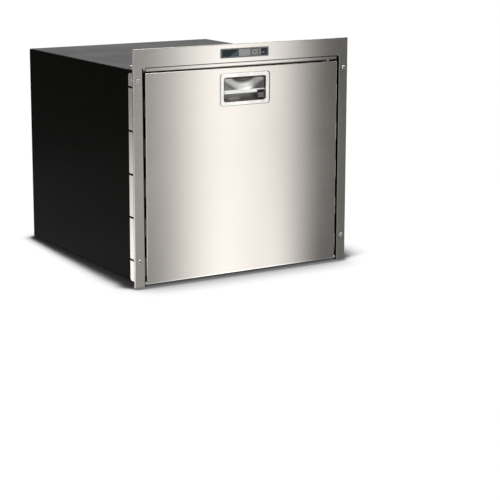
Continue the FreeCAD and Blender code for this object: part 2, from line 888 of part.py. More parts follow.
def scoop(grow):
    # An oval bowl, part of a wide ring's outside; grown by the plate's thickness it is the bowl's back
    ring_r = dish_radius(paddle_half - scoop_side)
    tube_r = dish_radius(scoop_half_height)
    centre = V(0, paddle_face + scoop_depth - ring_r, opening_top - scoop_drop)
    return Part.makeTorus(ring_r - tube_r, tube_r + grow, centre, Z_AXIS)


def latch_paddle():
    bar_top = opening_top - paddle_bar_drop
    # The top edge rises as the paddle tips out, so it stays that much below the opening
    lift = (paddle_pin_setback - paddle_bar_setback) * math.sin(math.radians(paddle_turn))
    plate_z = (bar_top - paddle_plate, opening_top - lift - slot_gap)
    plate_x = about(0, paddle_half)
    room = box(plate_x, (paddle_face, paddle_face + scoop_depth + 2 * paddle_plate), plate_z)
    corners = [edge for edge in edges_along(room, Y_AXIS) if edge.CenterOfMass.z > plate_z[1] - cut_over]
    room = room.makeFillet(2 * latch_opening_corner_r, corners)
    plate = room.common(box(plate_x, (paddle_face, paddle_face + paddle_plate), plate_z))
    barrel = rod(V(-paddle_half, pin_y, pin_z), X_AXIS, 2 * paddle_half, paddle_barrel_r)
    shell = fuse_all([plate, scoop(paddle_plate).common(room), barrel]).cut(scoop(0))
    bar_x = (-paddle_half, paddle_bar_right)
    bar_y = (paddle_face, paddle_face + paddle_bar_depth)
    bar = rounded_box(bar_x, bar_y, (bar_top - paddle_bar_height, bar_top), paddle_bar_depth / 3, X_AXIS)
    arm = box(about(0, arm_width / 2), (pin_y, bolt_y), about(pin_z, arm_height / 2))
    cross_pin = rod(V(-bolt_width / 2, bolt_y, pin_z), X_AXIS, bolt_width, arm_pin_r)
    reach = paddle_half + cut_over
    bore = rod(V(-reach, pin_y, pin_z), X_AXIS, 2 * reach, pin_r + run_gap)
    return fuse_all([shell, bar, arm, cross_pin]).cut(bore)


def latch_bolt():
    depth = about(bolt_y, bolt_depth / 2)
    height = (pin_z - bolt_tail, door_high - face_gap)
    block = box(about(0, bolt_width / 2), depth, height)
    ramp = [edge for edge in edges_along(block, X_AXIS) if edge.CenterOfMass.z > height[1] - cut_over]
    ramp = [edge for edge in ramp if edge.CenterOfMass.y > bolt_y]
    block = block.makeChamfer(bolt_depth / 2, ramp)
    fork_z = (height[0] - cut_over, pin_z + arm_height)
    fork = box(about(0, arm_width / 2 + slot_gap), (depth[0] - cut_over, depth[1] + cut_over), fork_z)
    notch_y = (depth[0] - cut_over, bolt_y + arm_pin_r + slot_gap)
    notch = box(about(0, bolt_width), notch_y, about(pin_z, arm_pin_r + slot_gap))
    return cut_all(block, [fork, notch])


def lock_slider():
    knob_y = (front_y + paddle_bar_setback, front_y + paddle_bar_setback + lock_knob_depth)
    knob_x = about(lock_x, lock_knob_width / 2)
    knob = rounded_box(knob_x, knob_y, about(knob_z, lock_knob_height / 2), lock_stem_width / 3, X_AXIS)
    groove_pitch = lock_knob_height / 5
    grooves = []
    for step in (-1, 0, 1):
        start = V(knob_x[0] - cut_over, knob_y[0], knob_z + step * groove_pitch)
        grooves.append(rod(start, X_AXIS, lock_knob_width + 2 * cut_over, groove_pitch / 4))
    stem_y = (knob_y[1] - cut_over, rod_y[0])
    stem = box(about(lock_x, lock_stem_width / 2), stem_y, about(knob_z, lock_knob_height / 4))
    rod_z = (knob_z - lock_knob_height / 2, door_high - face_gap)
    rail = box(about(lock_x, lock_rod_width / 2), rod_y, rod_z)
    return fuse_all([knob.cut(grooves), stem, rail])


# Control panel in the top bar of the frame
def control_block(inset, depth):
    height = about(control_z, control_height / 2 - inset)
    return box(about(0, control_width / 2 - inset), depth, height)


def control_openings():
    up = (control_z + step_split, control_z + button_half_height)
    down = (control_z - button_half_height, control_z - step_split)
    return {
        "set_button": ((set_left, set_right), about(control_z, button_half_height)),
        "up_button": ((step_left, step_right), up),
        "down_button": ((step_left, step_right), down),
    }


def control_insets():
    plate_left = display_right + plate_thickness
    return {
        "display_window": ((display_left, display_right), window_thickness),
        "panel_plate": ((plate_left, plate_right), plate_thickness),
        "status_window": ((status_left, status_right), window_thickness),
    }


def control_inset(name):
    across, thickness = control_insets()[name]
    inside = (across[0] + window_fit, across[1] - window_fit)
    depth = (control_face_y, control_face_y + thickness)
    return box(inside, depth, about(control_z, window_half_height - window_fit))


def control_housing():
    flange_z = about(control_z, control_height / 2)
    flange_y = (front_y - control_proud, front_y)
    flange = rounded_box(about(0, control_width / 2), flange_y, flange_z, control_rim, Y_AXIS)
    body = control_block(control_rim, (front_y, front_y + control_depth))
    inner_y = control_face_y + control_face
    cuts = [
        control_block(control_ring, (flange_y[0] - cut_over, control_face_y)),
        control_block(control_rim + control_wall, (inner_y, front_y + control_depth + cut_over)),
    ]
    for across, thickness in control_insets().values():
        depth = (control_face_y - cut_over, control_face_y + thickness)
        cuts.append(box(across, depth, about(control_z, window_half_height)))
    for across, height in control_openings().values():
        cuts.append(box(across, (control_face_y - cut_over, inner_y + cut_over), height))
    return cut_all(flange.fuse(body), cuts)


def control_button(name):
    across, height = control_openings()[name]
    inside = (across[0] + face_gap, across[1] - face_gap)
    tall = (height[0] + face_gap, height[1] - face_gap)
    start = control_face_y - button_proud
    cap = box(inside, (start, start + button_length), tall)
    rim_x = (across[0] - button_rim, across[1] + button_rim)
    rim = box(rim_x, (control_face_y + control_face + window_fit, start + button_length), tall)
    return fuse_all([cap, rim])


def control_board():
    depth = (front_y + board_setback, front_y + board_setback + board_thickness)
    board = control_block(control_rim + control_wall + window_fit, depth)
    button_end = control_face_y - button_proud + button_length
    switch_y = (button_end + button_travel + face_gap, depth[0])
    switches = []
    for across, height in control_openings().values():
        x = about(sum(across) / 2, switch_size / 2)
        switches.append(box(x, switch_y, about(sum(height) / 2, switch_size / 2)))
    return fuse_all([board] + switches)


def control_cover():
    seat = front_y + control_depth
    lid = control_block(control_rim, (seat, seat + cover_thickness))
    lip = control_block(control_rim + control_wall + window_fit, (seat - 2 * cover_thickness, seat))
    return fuse_all([lid, lip])


# Runners, brackets and bin
def channel(web, lips, half_height, depth):
    # A C section: the web stands at one x, the two flanges reach to another
    toward = rail_sheet if lips > web else -rail_sheet
    low = runner_z - half_height
    high = runner_z + half_height
    outline = [
        (web, low),
        (lips, low),
        (lips, low + rail_sheet),
        (web + toward, low + rail_sheet),
        (web + toward, high - rail_sheet),
        (lips, high - rail_sheet),
        (lips, high),
        (web, high),
    ]
    return xz_prism(outline, depth)


def cabinet_rail():
    return channel(cavity_half, cavity_half - runner_depth, runner_height / 2, runner_y)


def mid_rail():
    step = rail_sheet + rail_gap
    lips = cavity_half - runner_depth + rail_gap
    return channel(cavity_half - step, lips, runner_height / 2 - step, runner_y)


def drawer_rail():
    step = 2 * (rail_sheet + rail_gap)
    return channel(bracket_x, cavity_half - step, runner_height / 2 - step, runner_y)


def drawer_bracket():
    low = runner_z - bracket_below
    waist = runner_z - bracket_tail
    end = runner_y[1]
    outline = [
        (tab_y, low),
        (tab_y + bracket_nose, low),
        (tab_y + bracket_nose + bracket_slope, waist),
        (end, waist),
        (end, ledge_z),
        (tab_y, ledge_z),
    ]
    plate = yz_prism(outline, (bracket_x - bracket_sheet, bracket_x))
    ledge = box((bracket_x - bracket_ledge, bracket_x), (tab_y, end), (ledge_z - bracket_sheet, ledge_z))
    tab = box((bracket_x - bracket_tab, bracket_x), (tab_y, tab_y + bracket_sheet), (low, ledge_z))
    holes = [bracket_screw_hole(x, z) for x, z in bracket_screw_places() if x > 0]
    return fuse_all([plate, ledge, tab]).cut(holes)


def rounded_loop(half_x, y, z, radius):
    # A rounded rectangle in a level plane, as one closed wire
    slab = rounded_box(about(0, half_x), y, (z, z + cut_over), radius, Z_AXIS)
    faces = [face for face in slab.Faces if abs(face.CenterOfMass.z - z) < 0.01]
    return faces[0].OuterWire


def bin_solid(inset, low, high):
    # The tapered tub, drawn in by an inset; its walls lean out from the floor to the rim
    drop = (ledge_z - low) / bin_height
    rise = (ledge_z - high) / bin_height
    loops = []
    for share, z in ((drop, low), (rise, high)):
        side = bin_half - inset - bin_side_draft * share
        end = inset + bin_end_draft * share
        loops.append(rounded_loop(side, (bin_y[0] + end, bin_y[1] - end), z, bin_corner_r - inset))
    return Part.makeLoft(loops, True, True)


def drawer_bin():
    floor = ledge_z - bin_height
    outer = bin_solid(0, floor, ledge_z)
    rim_y = (bin_y[0] - bin_rim_width, bin_y[1] + bin_rim_width)
    rim_z = (ledge_z, ledge_z + bin_rim_height)
    rim = rounded_box(about(0, bin_half + bin_rim_width), rim_y, rim_z, bin_corner_r + bin_rim_width, Z_AXIS)
    hollow = bin_solid(bin_wall, floor + bin_wall, ledge_z)
    mouth_y = (bin_y[0] + bin_wall, bin_y[1] - bin_wall)
    mouth_z = (ledge_z, ledge_z + bin_rim_height + cut_over)
    mouth = rounded_box(about(0, bin_half - bin_wall), mouth_y, mouth_z, bin_corner_r - bin_wall, Z_AXIS)
    return outer.fuse(rim).cut([hollow, mouth]).removeSplitter()


# Cooling unit
def evaporator_plate():
    rear = evaporator_rear
    front = evaporator_front
    middle = (cavity_floor + cavity_ceiling) / 2
    half_x = cavity_half - evaporator_side_gap
    half_z = evaporator_height / 2
    pieces = [box(about(0, half_x), (front, rear), about(middle, half_z))]
    pitch = evaporator_height / evaporator_rows
    run = half_x - pitch / 2
    for row in range(evaporator_rows):
        z = middle - half_z + (row + 0.5) * pitch
        pieces.append(rod(V(-run, front, z), X_AXIS, 2 * run, evaporator_ridge_r))
        if row < evaporator_rows - 1:
            end = run if row % 2 else -run
            pieces.append(rod(V(end, front, z), Z_AXIS, pitch, evaporator_ridge_r))
    behind = box(about(0, half_x), (rear, cavity_rear), about(middle, half_z))
    plate = fuse_all(pieces).cut(behind)
    bosses = []
    for x in (-half_x + pitch / 2, half_x - pitch / 2):
        for z in (middle - half_z + pitch, middle + half_z - pitch):
            bosses.append(rod(V(x, rear, z), Y_AXIS, evaporator_standoff, evaporator_boss_r))
    return fuse_all([plate] + bosses)


def temperature_probe():
    x = evaporator_side_gap / 2 - cavity_half
    middle = (cavity_floor + cavity_ceiling) / 2
    clip = box(about(x, probe_r), (cavity_rear - 2 * probe_r, cavity_rear), about(middle, probe_r))
    bulb = rod(V(x, cavity_rear - 2 * probe_r, middle - probe_length / 2), Z_AXIS, probe_length, probe_r)
    return fuse_all([clip, bulb])


def compressor_mount():
    x = about(compressor_x, mount_width / 2)
    y = about(machine_mid, mount_length / 2)
    return rounded_box(x, y, (mount_top - mount_thickness, mount_top), mount_corner_r, Z_AXIS)


def compressor_grommets():
    pads = []
    outline = [
        (0, 0),
        (grommet_r, 0),
        (grommet_r, grommet_height * 0.3),
        (grommet_r * 0.7, grommet_height * 0.5),
        (grommet_r, grommet_height * 0.7),
        (grommet_r, grommet_height),
        (0, grommet_height),
    ]
    for side in (-1, 1):
        for end in (-1, 1):
            x = compressor_x + side * (mount_width / 2 - grommet_inset)
            y = machine_mid + end * (mount_length / 2 - grommet_inset)
            points = [V(x + radius, y, pan_floor + z) for radius, z in outline]
            pads.append(revolved(points, V(x, y, 0), Z_AXIS))
    return Part.makeCompound(pads)


def compressor_turned(edges):
    face = Part.Face(Part.Wire(edges))
    return face.revolve(V(compressor_x, machine_mid, 0), Z_AXIS, 360)


def compressor_point(radius, z):
    return V(compressor_x + radius, machine_mid, z)


def polyline(points):
    return [Part.LineSegment(a, b).toShape() for a, b in zip(points, points[1:])]


def compressor_lower_shell():
    turn = compressor_r - compressor_base_r
    corner = (compressor_base_r, mount_top + turn)
    foot = compressor_point(compressor_base_r, mount_top)
    side = compressor_point(compressor_r, mount_top + turn)
    slant = turn * math.sqrt(0.5)
    middle = compressor_point(corner[0] + slant, corner[1] - slant)
    skirt = [
        side,
        compressor_point(compressor_r, seam_z - seam_thickness),
        compressor_point(compressor_r + seam_width, seam_z - seam_thickness),
        compressor_point(compressor_r + seam_width, seam_z),
        compressor_point(0, seam_z),
        compressor_point(0, mount_top),
        foot,
    ]
    return compressor_turned([Part.Arc(foot, middle, side).toShape()] + polyline(skirt))


def compressor_upper_shell():
    shoulder = seam_z + compressor_upper / 3
    crown = seam_z + compressor_upper
    rise = crown - shoulder
    dome_r = (compressor_r ** 2 + rise ** 2) / (2 * rise)
    half = compressor_r / 2
    middle = compressor_point(half, crown - dome_r + math.sqrt(dome_r ** 2 - half ** 2))
    side = compressor_point(compressor_r, shoulder)
    top = compressor_point(0, crown)
    skirt = [
        top,
        compressor_point(0, seam_z),
        compressor_point(compressor_r + seam_width, seam_z),
        compressor_point(compressor_r + seam_width, seam_z + seam_thickness),
        compressor_point(compressor_r, seam_z + seam_thickness),
        side,
    ]
    dome = compressor_turned([Part.Arc(side, middle, top).toShape()] + polyline(skirt))
    suction_end = compressor_r + stub_length
    suction_stub = rod(V(compressor_x, machine_mid, suction_stub_z), X_AXIS, suction_end, pipe_r)
    lift = V(compressor_x + discharge_offset, machine_mid, shoulder)
    discharge_stub = rod(lift, Z_AXIS, crown + stub_length - shoulder, pipe_r)
    return fuse_all([dome, suction_stub, discharge_stub])


def compressor_controller():
    left = compressor_x + mount_width / 2 + controller_gap
    x = (left, left + controller_width)
    y = about(machine_mid, controller_length / 2)
    body_top = pan_floor + controller_height * 0.75
    pieces = [box(x, y, (pan_floor, body_top))]
    rib_count = 6
    pitch = controller_width / rib_count
    for rib in range(rib_count):
        rib_x = about(x[0] + (rib + 0.5) * pitch, pitch / 5)
        pieces.append(box(rib_x, y, (body_top, pan_floor + controller_height)))
    return fuse_all(pieces)


def suction_pipe():
    level = base_z + suction_level
    y = foam_rear + suction_setback
    end = compressor_x + compressor_r + stub_length
    riser_x = end + suction_riser_gap
    return tube([
        V(suction_x, evaporator_rear, suction_z),
        V(suction_x, y, suction_z),
        V(suction_x, y, level),
        V(riser_x, y, level),
        V(riser_x, y, suction_stub_z),
        V(riser_x, machine_mid, suction_stub_z),
        V(end, machine_mid, suction_stub_z),
    ], pipe_r, pipe_bend_r)


def discharge_pipe():
    stub_top = seam_z + compressor_upper + stub_length
    level = stub_top + discharge_rise
    x = compressor_x + discharge_offset
    riser_x = coil_start - discharge_riser_gap
    return tube([
        V(x, machine_mid, stub_top),
        V(x, machine_mid, level),
        V(riser_x, machine_mid, level),
        V(riser_x, coil_y, level),
        V(riser_x, coil_y, coil_height(coil_runs - 1)),
        V(coil_start, coil_y, coil_height(coil_runs - 1)),
    ], pipe_r, pipe_bend_r)


def liquid_pipe():
    return tube([
        V(coil_start, coil_y, coil_height(0)),
        V(drier_x, coil_y, coil_height(0)),
        V(drier_x, drier_y, coil_height(0)),
        V(drier_x, drier_y, base_z + drier_height - drier_neck),
    ], pipe_r, pipe_bend_r)


def filter_drier():
    low = base_z + drier_height
    outline = [
        (0, low - drier_neck),
        (pipe_r, low - drier_neck),
        (pipe_r, low),
        (drier_r, low + drier_neck),
        (drier_r, low + drier_length - drier_neck),
        (pipe_r, low + drier_length),
        (pipe_r, low + drier_length + drier_neck),
        (0, low + drier_length + drier_neck),
    ]
    points = [V(drier_x + radius, drier_y, z) for radius, z in outline]
    return revolved(points, V(drier_x, drier_y, 0), Z_AXIS)


def capillary_tube():
    return tube([
        V(drier_x, drier_y, base_z + drier_height + drier_length + drier_neck),
        V(drier_x, drier_y, capillary_z),
        V(drier_x, foam_rear - capillary_entry, capillary_z),
    ], capillary_r, pipe_bend_r)


def coil_height(run):
    return pan_floor + coil_low + run * coil_pitch


def condenser_coil():
    far = fan_x + fan_size / 2 + coil_pitch / 2
    near = fan_x - fan_size / 2 - coil_pitch / 2
    points = [V(coil_start, coil_y, coil_height(0))]
    for run in range(coil_runs - 1):
        turn = near if run % 2 else far
        points.append(V(turn, coil_y, coil_height(run)))
        points.append(V(turn, coil_y, coil_height(run + 1)))
    points.append(V(coil_start, coil_y, coil_height(coil_runs - 1)))
    return tube(points, pipe_r, coil_pitch / 2)


def condenser_fins():
    first = fan_x - (fin_count - 1) * fin_pitch / 2
    fins = []
    for index in range(fin_count):
        x = first + index * fin_pitch
        height = (pan_floor, pan_floor + fan_size)
        fin = box(about(x, fin_sheet / 2), (fin_front, fin_front + fin_depth), height)
        holes = []
        for run in range(coil_runs):
            start = V(x - fin_sheet, coil_y, coil_height(run))
            holes.append(rod(start, X_AXIS, 2 * fin_sheet, pipe_r + fin_hole_gap))
        fins.append(fin.cut(holes))
    return Part.makeCompound(fins)


def fan_shroud():
    height = (pan_floor, pan_floor + fan_size)
    frame = box(about(fan_x, fan_size / 2), (fan_face_y, fan_face_y + fan_depth), height)
    duct = rod(V(fan_x, fan_face_y - cut_over, fan_z), Y_AXIS, fan_depth + 2 * cut_over, fan_duct_r)
    return frame.cut(duct)


def fan_motor():
    start = fan_face_y - fan_arm_depth
    hub = rod(V(fan_x, start, fan_z), Y_AXIS, fan_motor_depth, fan_motor_r)
    reach = (fan_duct_r + fan_size / 2) / 2
    half = fan_arm_width / 2
    level = box(about(fan_x, reach), (start, fan_face_y), about(fan_z, half))
    upright = box(about(fan_x, half), (start, fan_face_y), about(fan_z, reach))
    bore_depth = fan_motor_depth + 2 * cut_over
    bore = rod(V(fan_x, start - cut_over, fan_z), Y_AXIS, bore_depth, fan_shaft_r + run_gap)
    return fuse_all([hub, level, upright]).cut(bore)


def blade_section(radius, chord, angle, middle_y):
    along = V(0, math.sin(angle), math.cos(angle)) * (chord / 2)
    across = V(0, math.cos(angle), -math.sin(angle)) * (fan_blade_sheet / 2)
    centre = V(fan_x + radius, middle_y, fan_z)
    far = centre + along
    near = centre - along
    corners = [far + across, near + across, near - across, far - across]
    return Part.makePolygon(corners + [corners[0]])


def fan_rotor():
    start = fan_face_y - fan_arm_depth + fan_motor_depth + slot_gap
    end = fan_face_y + fan_depth - 2 * slot_gap
    middle = (start + end) / 2
    hub = rod(V(fan_x, start, fan_z), Y_AXIS, end - start, fan_hub_r)
    shaft = rod(V(fan_x, fan_face_y, fan_z), Y_AXIS, end - fan_face_y, fan_shaft_r)
    root_chord = (end - start) * 1.15
    tip_chord = (end - start) * 1.5
    root_angle = math.radians(44)
    tip_angle = math.radians(30)
    tip_half = tip_chord / 2 * math.cos(tip_angle) + fan_blade_sheet
    tip = math.sqrt((fan_duct_r - fan_tip_gap) ** 2 - tip_half ** 2)
    root = fan_hub_r * 0.8
    sections = [
        blade_section(root, root_chord, root_angle, middle),
        blade_section(tip, tip_chord, tip_angle, middle),
    ]
    pieces = [hub, shaft]
    for index in range(fan_blades):
        blade = Part.makeLoft(sections, True, True)
        blade.rotate(V(fan_x, 0, fan_z), Y_AXIS, index * 360 / fan_blades)
        pieces.append(blade)
    return fuse_all(pieces)


def save(name, shape):
    shape.exportStep("parts/" + name + ".step")


pieces = {
    "front_frame": front_frame(),
    "side_flange_right": side_flange(),
    "side_flange_left": mirrored(side_flange()),
    "frame_screws": frame_screws(),
    "outer_casing": outer_casing(),
    "casing_screws": casing_screws(),
    "base_pan": base_pan(),
    "back_panel": back_panel(),
    "back_panel_screws": back_panel_screws(),
    "cable_gland": cable_gland(),
    "feet": feet(),
    "inner_liner": inner_liner(),
    "insulation_foam": insulation_foam(),
    "door_skin": door_skin(),
    "door_foam": door_foam(),
    "door_inner_panel": door_inner_panel(),
    "bracket_screws": bracket_screws(),
    "door_gasket": door_gasket(),
    "corner_guides": corner_guides(),
    "latch_cup": latch_cup(),
    "paddle_pin": paddle_pin(),
    "latch_paddle": latch_paddle(),
    "latch_bolt": latch_bolt(),
    "lock_slider": lock_slider(),
    "control_housing": control_housing(),
    "control_board": control_board(),
    "control_cover": control_cover(),
    "cabinet_rail_right": cabinet_rail(),
    "cabinet_rail_left": mirrored(cabinet_rail()),
    "mid_rail_right": mid_rail(),
    "mid_rail_left": mirrored(mid_rail()),
    "drawer_rail_right": drawer_rail(),
    "drawer_rail_left": mirrored(drawer_rail()),
    "drawer_bracket_right": drawer_bracket(),
    "drawer_bracket_left": mirrored(drawer_bracket()),
    "drawer_bin": drawer_bin(),
    "evaporator_plate": evaporator_plate(),
    "temperature_probe": temperature_probe(),
    "compressor_mount": compressor_mount(),
    "compressor_grommets": compressor_grommets(),
    "compressor_lower_shell": compressor_lower_shell(),
    "compressor_upper_shell": compressor_upper_shell(),
    "compressor_controller": compressor_controller(),
    "suction_pipe": suction_pipe(),
    "discharge_pipe": discharge_pipe(),
    "liquid_pipe": liquid_pipe(),
    "filter_drier": filter_drier(),
    "capillary_tube": capillary_tube(),
    "condenser_coil": condenser_coil(),
    "condenser_fins": condenser_fins(),
    "fan_shroud": fan_shroud(),
    "fan_motor": fan_motor(),
    "fan_rotor": fan_rotor(),
}
for inset in control_insets():
    pieces[inset] = control_inset(inset)
for button in control_openings():
    pieces[button] = control_button(button)
for name, shape in pieces.items():
    save(name, shape)
    state = "valid" if shape.isValid() else "not valid"
    print(name, len(shape.Solids), "solids", round(shape.Volume), "mm3", state)
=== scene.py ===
import json
import math

import bpy
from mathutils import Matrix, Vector


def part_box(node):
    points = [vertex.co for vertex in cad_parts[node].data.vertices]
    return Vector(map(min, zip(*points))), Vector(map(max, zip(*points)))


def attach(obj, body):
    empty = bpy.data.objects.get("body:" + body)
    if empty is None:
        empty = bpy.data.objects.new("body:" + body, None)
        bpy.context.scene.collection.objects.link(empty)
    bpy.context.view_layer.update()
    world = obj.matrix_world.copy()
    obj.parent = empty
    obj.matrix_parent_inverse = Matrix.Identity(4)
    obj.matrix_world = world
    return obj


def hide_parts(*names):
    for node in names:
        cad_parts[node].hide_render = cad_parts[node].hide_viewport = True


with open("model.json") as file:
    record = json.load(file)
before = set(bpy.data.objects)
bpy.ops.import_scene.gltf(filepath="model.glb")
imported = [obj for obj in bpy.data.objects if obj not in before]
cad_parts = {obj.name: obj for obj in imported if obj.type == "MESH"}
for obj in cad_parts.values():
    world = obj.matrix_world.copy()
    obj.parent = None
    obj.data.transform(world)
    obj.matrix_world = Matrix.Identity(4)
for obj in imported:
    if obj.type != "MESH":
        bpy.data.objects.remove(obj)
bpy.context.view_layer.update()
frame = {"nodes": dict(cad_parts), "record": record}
cadNodes = frame["nodes"]
print("frame loaded,", len(cadNodes), "nodes")


def grey(tone):
    return (tone, tone, tone, 1)


# small helpers for node trees
def putNode(tree, kind, x, y, **settings):
    node = tree.nodes.new(kind)
    node.location = (x, y)
    for name, value in settings.items():
        setattr(node, name, value)
    return node


def setInputs(node, **values):
    for name, value in values.items():
        node.inputs[name.replace("_", " ")].default_value = value
    return node


def wire(tree, fromSocket, toSocket):
    tree.links.new(fromSocket, toSocket)


# a plain number or colour is set on the socket, anything else is wired to it
def feed(tree, socket, value):
    if isinstance(value, (int, float, tuple)):
        socket.default_value = value
    else:
        wire(tree, value, socket)


def mathNode(tree, operation, x, y, first, second=None, clamp=False):
    node = putNode(tree, "ShaderNodeMath", x, y, operation=operation, use_clamp=clamp)
    feed(tree, node.inputs[0], first)
    if second is not None:
        feed(tree, node.inputs[1], second)
    return node.outputs[0]


def mixColour(tree, x, y, factor, first, second):
    node = putNode(tree, "ShaderNodeMix", x, y, data_type="RGBA", blend_type="MIX")
    for index, value in ((0, factor), (6, first), (7, second)):
        feed(tree, node.inputs[index], value)
    return node.outputs[2]


def remap(tree, x, y, value, fromLow, fromHigh, toLow=0.0, toHigh=1.0):
    node = putNode(tree, "ShaderNodeMapRange", x, y, clamp=True)
    for index, number in enumerate((value, fromLow, fromHigh, toLow, toHigh)):
        feed(tree, node.inputs[index], number)
    return node.outputs[0]


# the place on a piece, as X, Y and Z
def splitPlace(tree, x, y):
    place = putNode(tree, "ShaderNodeTexCoord", x, y)
    split = putNode(tree, "ShaderNodeSeparateXYZ", x + 200, y)
    wire(tree, place.outputs["Object"], split.inputs[0])
    return split


def placedNoise(tree, x, y, **settings):
    place = putNode(tree, "ShaderNodeTexCoord", x - 250, y)
    noise = putNode(tree, "ShaderNodeTexNoise", x, y)
    wire(tree, place.outputs["Object"], noise.inputs["Vector"])
    for name, value in settings.items():
        feed(tree, noise.inputs[name], value)
    return noise.outputs[0]


def newGroup(name, inputs, outputs):
    tree = bpy.data.node_groups.new(name, "ShaderNodeTree")
    for label, value in inputs.items():
        socket = tree.interface.new_socket(label, in_out="INPUT", socket_type="NodeSocketFloat")
        socket.default_value = value
    for label in outputs:
        tree.interface.new_socket(label, in_out="OUTPUT", socket_type="NodeSocketFloat")
    start = putNode(tree, "NodeGroupInput", -900, 0)
    end = putNode(tree, "NodeGroupOutput", 700, 0)
    return tree, start.outputs, end.inputs


def useGroup(tree, group, x, y, **values):
    return setInputs(putNode(tree, "ShaderNodeGroup", x, y, node_tree=group), **values)


# brushed lines that run level round the part: long along X and Y, fine along Z
def makeGrainGroup():
    tree, start, end = newGroup("brushed lines", {"Along": 5.0, "Fine": 2400.0, "Coarse": 260.0},
                                ("Streak", "Band"))
    split = splitPlace(tree, -900, 300)
    for row, (across, output) in enumerate((("Fine", "Streak"), ("Coarse", "Band"))):
        level = 300 - 300 * row
        joined = putNode(tree, "ShaderNodeCombineXYZ", -200, level)
        for axis, scale in enumerate(("Along", "Along", across)):
            stretched = mathNode(tree, "MULTIPLY", -450, level - 60 * axis, split.outputs[axis], start[scale])
            wire(tree, stretched, joined.inputs[axis])
        noise = putNode(tree, "ShaderNodeTexNoise", 100, level)
        setInputs(noise, Scale=1.0, Detail=3.0, Roughness=0.6)
        wire(tree, joined.outputs[0], noise.inputs["Vector"])
        wire(tree, noise.outputs[0], end[output])
    return tree


# rubbed edges with a painted highlight, found by rounding the shading normal
def makeEdgeGroup():
    tree, start, end = newGroup("edge wear and painted highlight", {"Radius": 0.0015, "Noise Scale": 60.0}, ("Mask",))
    rounded = putNode(tree, "ShaderNodeBevel", -600, 200, samples=4)
    wire(tree, start["Radius"], rounded.inputs["Radius"])
    shape = putNode(tree, "ShaderNodeNewGeometry", -600, -50)
    dot = putNode(tree, "ShaderNodeVectorMath", -350, 100, operation="DOT_PRODUCT")
    wire(tree, rounded.outputs[0], dot.inputs[0])
    wire(tree, shape.outputs["Normal"], dot.inputs[1])
    edge = remap(tree, -150, 100, dot.outputs["Value"], 0.995, 0.80)
    noise = placedNoise(tree, -350, -300, Scale=start["Noise Scale"], Detail=4.0, Roughness=0.7)
    broken = remap(tree, -150, -300, noise, 0.35, 0.65, 0.25, 1.0)
    wire(tree, mathNode(tree, "MULTIPLY", 300, 0, edge, broken, clamp=True), end["Mask"])
    return tree


# uneven sheen from handling, in broad soft patches
def makeSmudgeGroup():
    tree, start, end = newGroup("smudges", {"Scale": 7.0, "Low": -0.04, "High": 0.06}, ("Value",))
    broad = placedNoise(tree, -450, 100, Scale=start["Scale"], Detail=5.0, Roughness=0.55, Distortion=0.4)
    wire(tree, remap(tree, 100, 100, broad, 0.3, 0.7, start["Low"], start["High"]), end["Value"])
    return tree


# the fine skin of moulded plastic or a powder coat
def makeSkinGroup():
    tree, start, end = newGroup("moulded skin", {"Scale": 900.0, "Detail": 2.0}, ("Height", "Fleck"))
    fine = placedNoise(tree, -400, 200, Scale=start["Scale"], Detail=start["Detail"], Roughness=0.5)
    broad = placedNoise(tree, -400, -150, Scale=22.0, Detail=6.0, Roughness=0.65)
    wire(tree, fine, end["Height"])
    wire(tree, remap(tree, 0, -150, broad, 0.3, 0.7), end["Fleck"])
    return tree


# settled dust on faces that look up
def makeDustGroup():
    tree, start, end = newGroup("dust", {"Amount": 0.15, "Scale": 30.0}, ("Mask",))
    shape = putNode(tree, "ShaderNodeNewGeometry", -700, 200)
    split = putNode(tree, "ShaderNodeSeparateXYZ", -500, 200)
    wire(tree, shape.outputs["Normal"], split.inputs[0])
    upward = remap(tree, -300, 200, split.outputs[2], 0.6, 0.95)
    noise = placedNoise(tree, -500, -150, Scale=start["Scale"], Detail=8.0, Roughness=0.75)
    patchy = remap(tree, -250, -150, noise, 0.42, 0.75)
    settled = mathNode(tree, "MULTIPLY", 100, 0, upward, patchy)
    wire(tree, mathNode(tree, "MULTIPLY", 350, 0, settled, start["Amount"]), end["Mask"])
    return tree


# shade that gathers in gaps, slots and pockets
def makeCreviceGroup():
    tree, start, end = newGroup("crevices", {"Reach": 0.006, "Open": 0.75, "Shut": 0.35}, ("Mask",))
    nearby = putNode(tree, "ShaderNodeAmbientOcclusion", -500, 100, samples=8)
    wire(tree, start["Reach"], nearby.inputs["Distance"])
    wire(tree, remap(tree, 0, 100, nearby.outputs["AO"], start["Open"], start["Shut"]), end["Mask"])
    return tree


grainGroup = makeGrainGroup()
edgeWearAndHighlightGroup = makeEdgeGroup()
smudgeGroup = makeSmudgeGroup()
skinGroup = makeSkinGroup()
dustGroup = makeDustGroup()
creviceGroup = makeCreviceGroup()
print("shared effects ready")


# finishes
# painted shadow: near black for folds and gaps in shade, and the tone of painted shade in crevices
gapShadow = (0.006, 0.006, 0.0055, 1)
gapTone = (0.008, 0.008, 0.007, 1)
dustTone = (0.55, 0.53, 0.5, 1)
metalRelief = 0.0002
coatRelief = 0.0003


# the emptied tree of a material or world, and the socket at its end
def bareTree(owner, kind, x):
    owner.use_nodes = True
    tree = owner.node_tree
    tree.nodes.clear()
    return tree, putNode(tree, kind, x, 0).inputs[0]


def newFinish(name):
    material = bpy.data.materials.new(name)
    tree, surface = bareTree(material, "ShaderNodeOutputMaterial", 950)
    shader = putNode(tree, "ShaderNodeBsdfPrincipled", 600, 0)
    wire(tree, shader.outputs[0], surface)
    return material, tree, shader


def addBump(tree, shader, height, strength, distance=metalRelief):
    bump = putNode(tree, "ShaderNodeBump", 300, -400)
    setInputs(bump, Strength=strength, Distance=distance)
    wire(tree, height, bump.inputs["Height"])
    wire(tree, bump.outputs[0], shader.inputs["Normal"])
    return bump


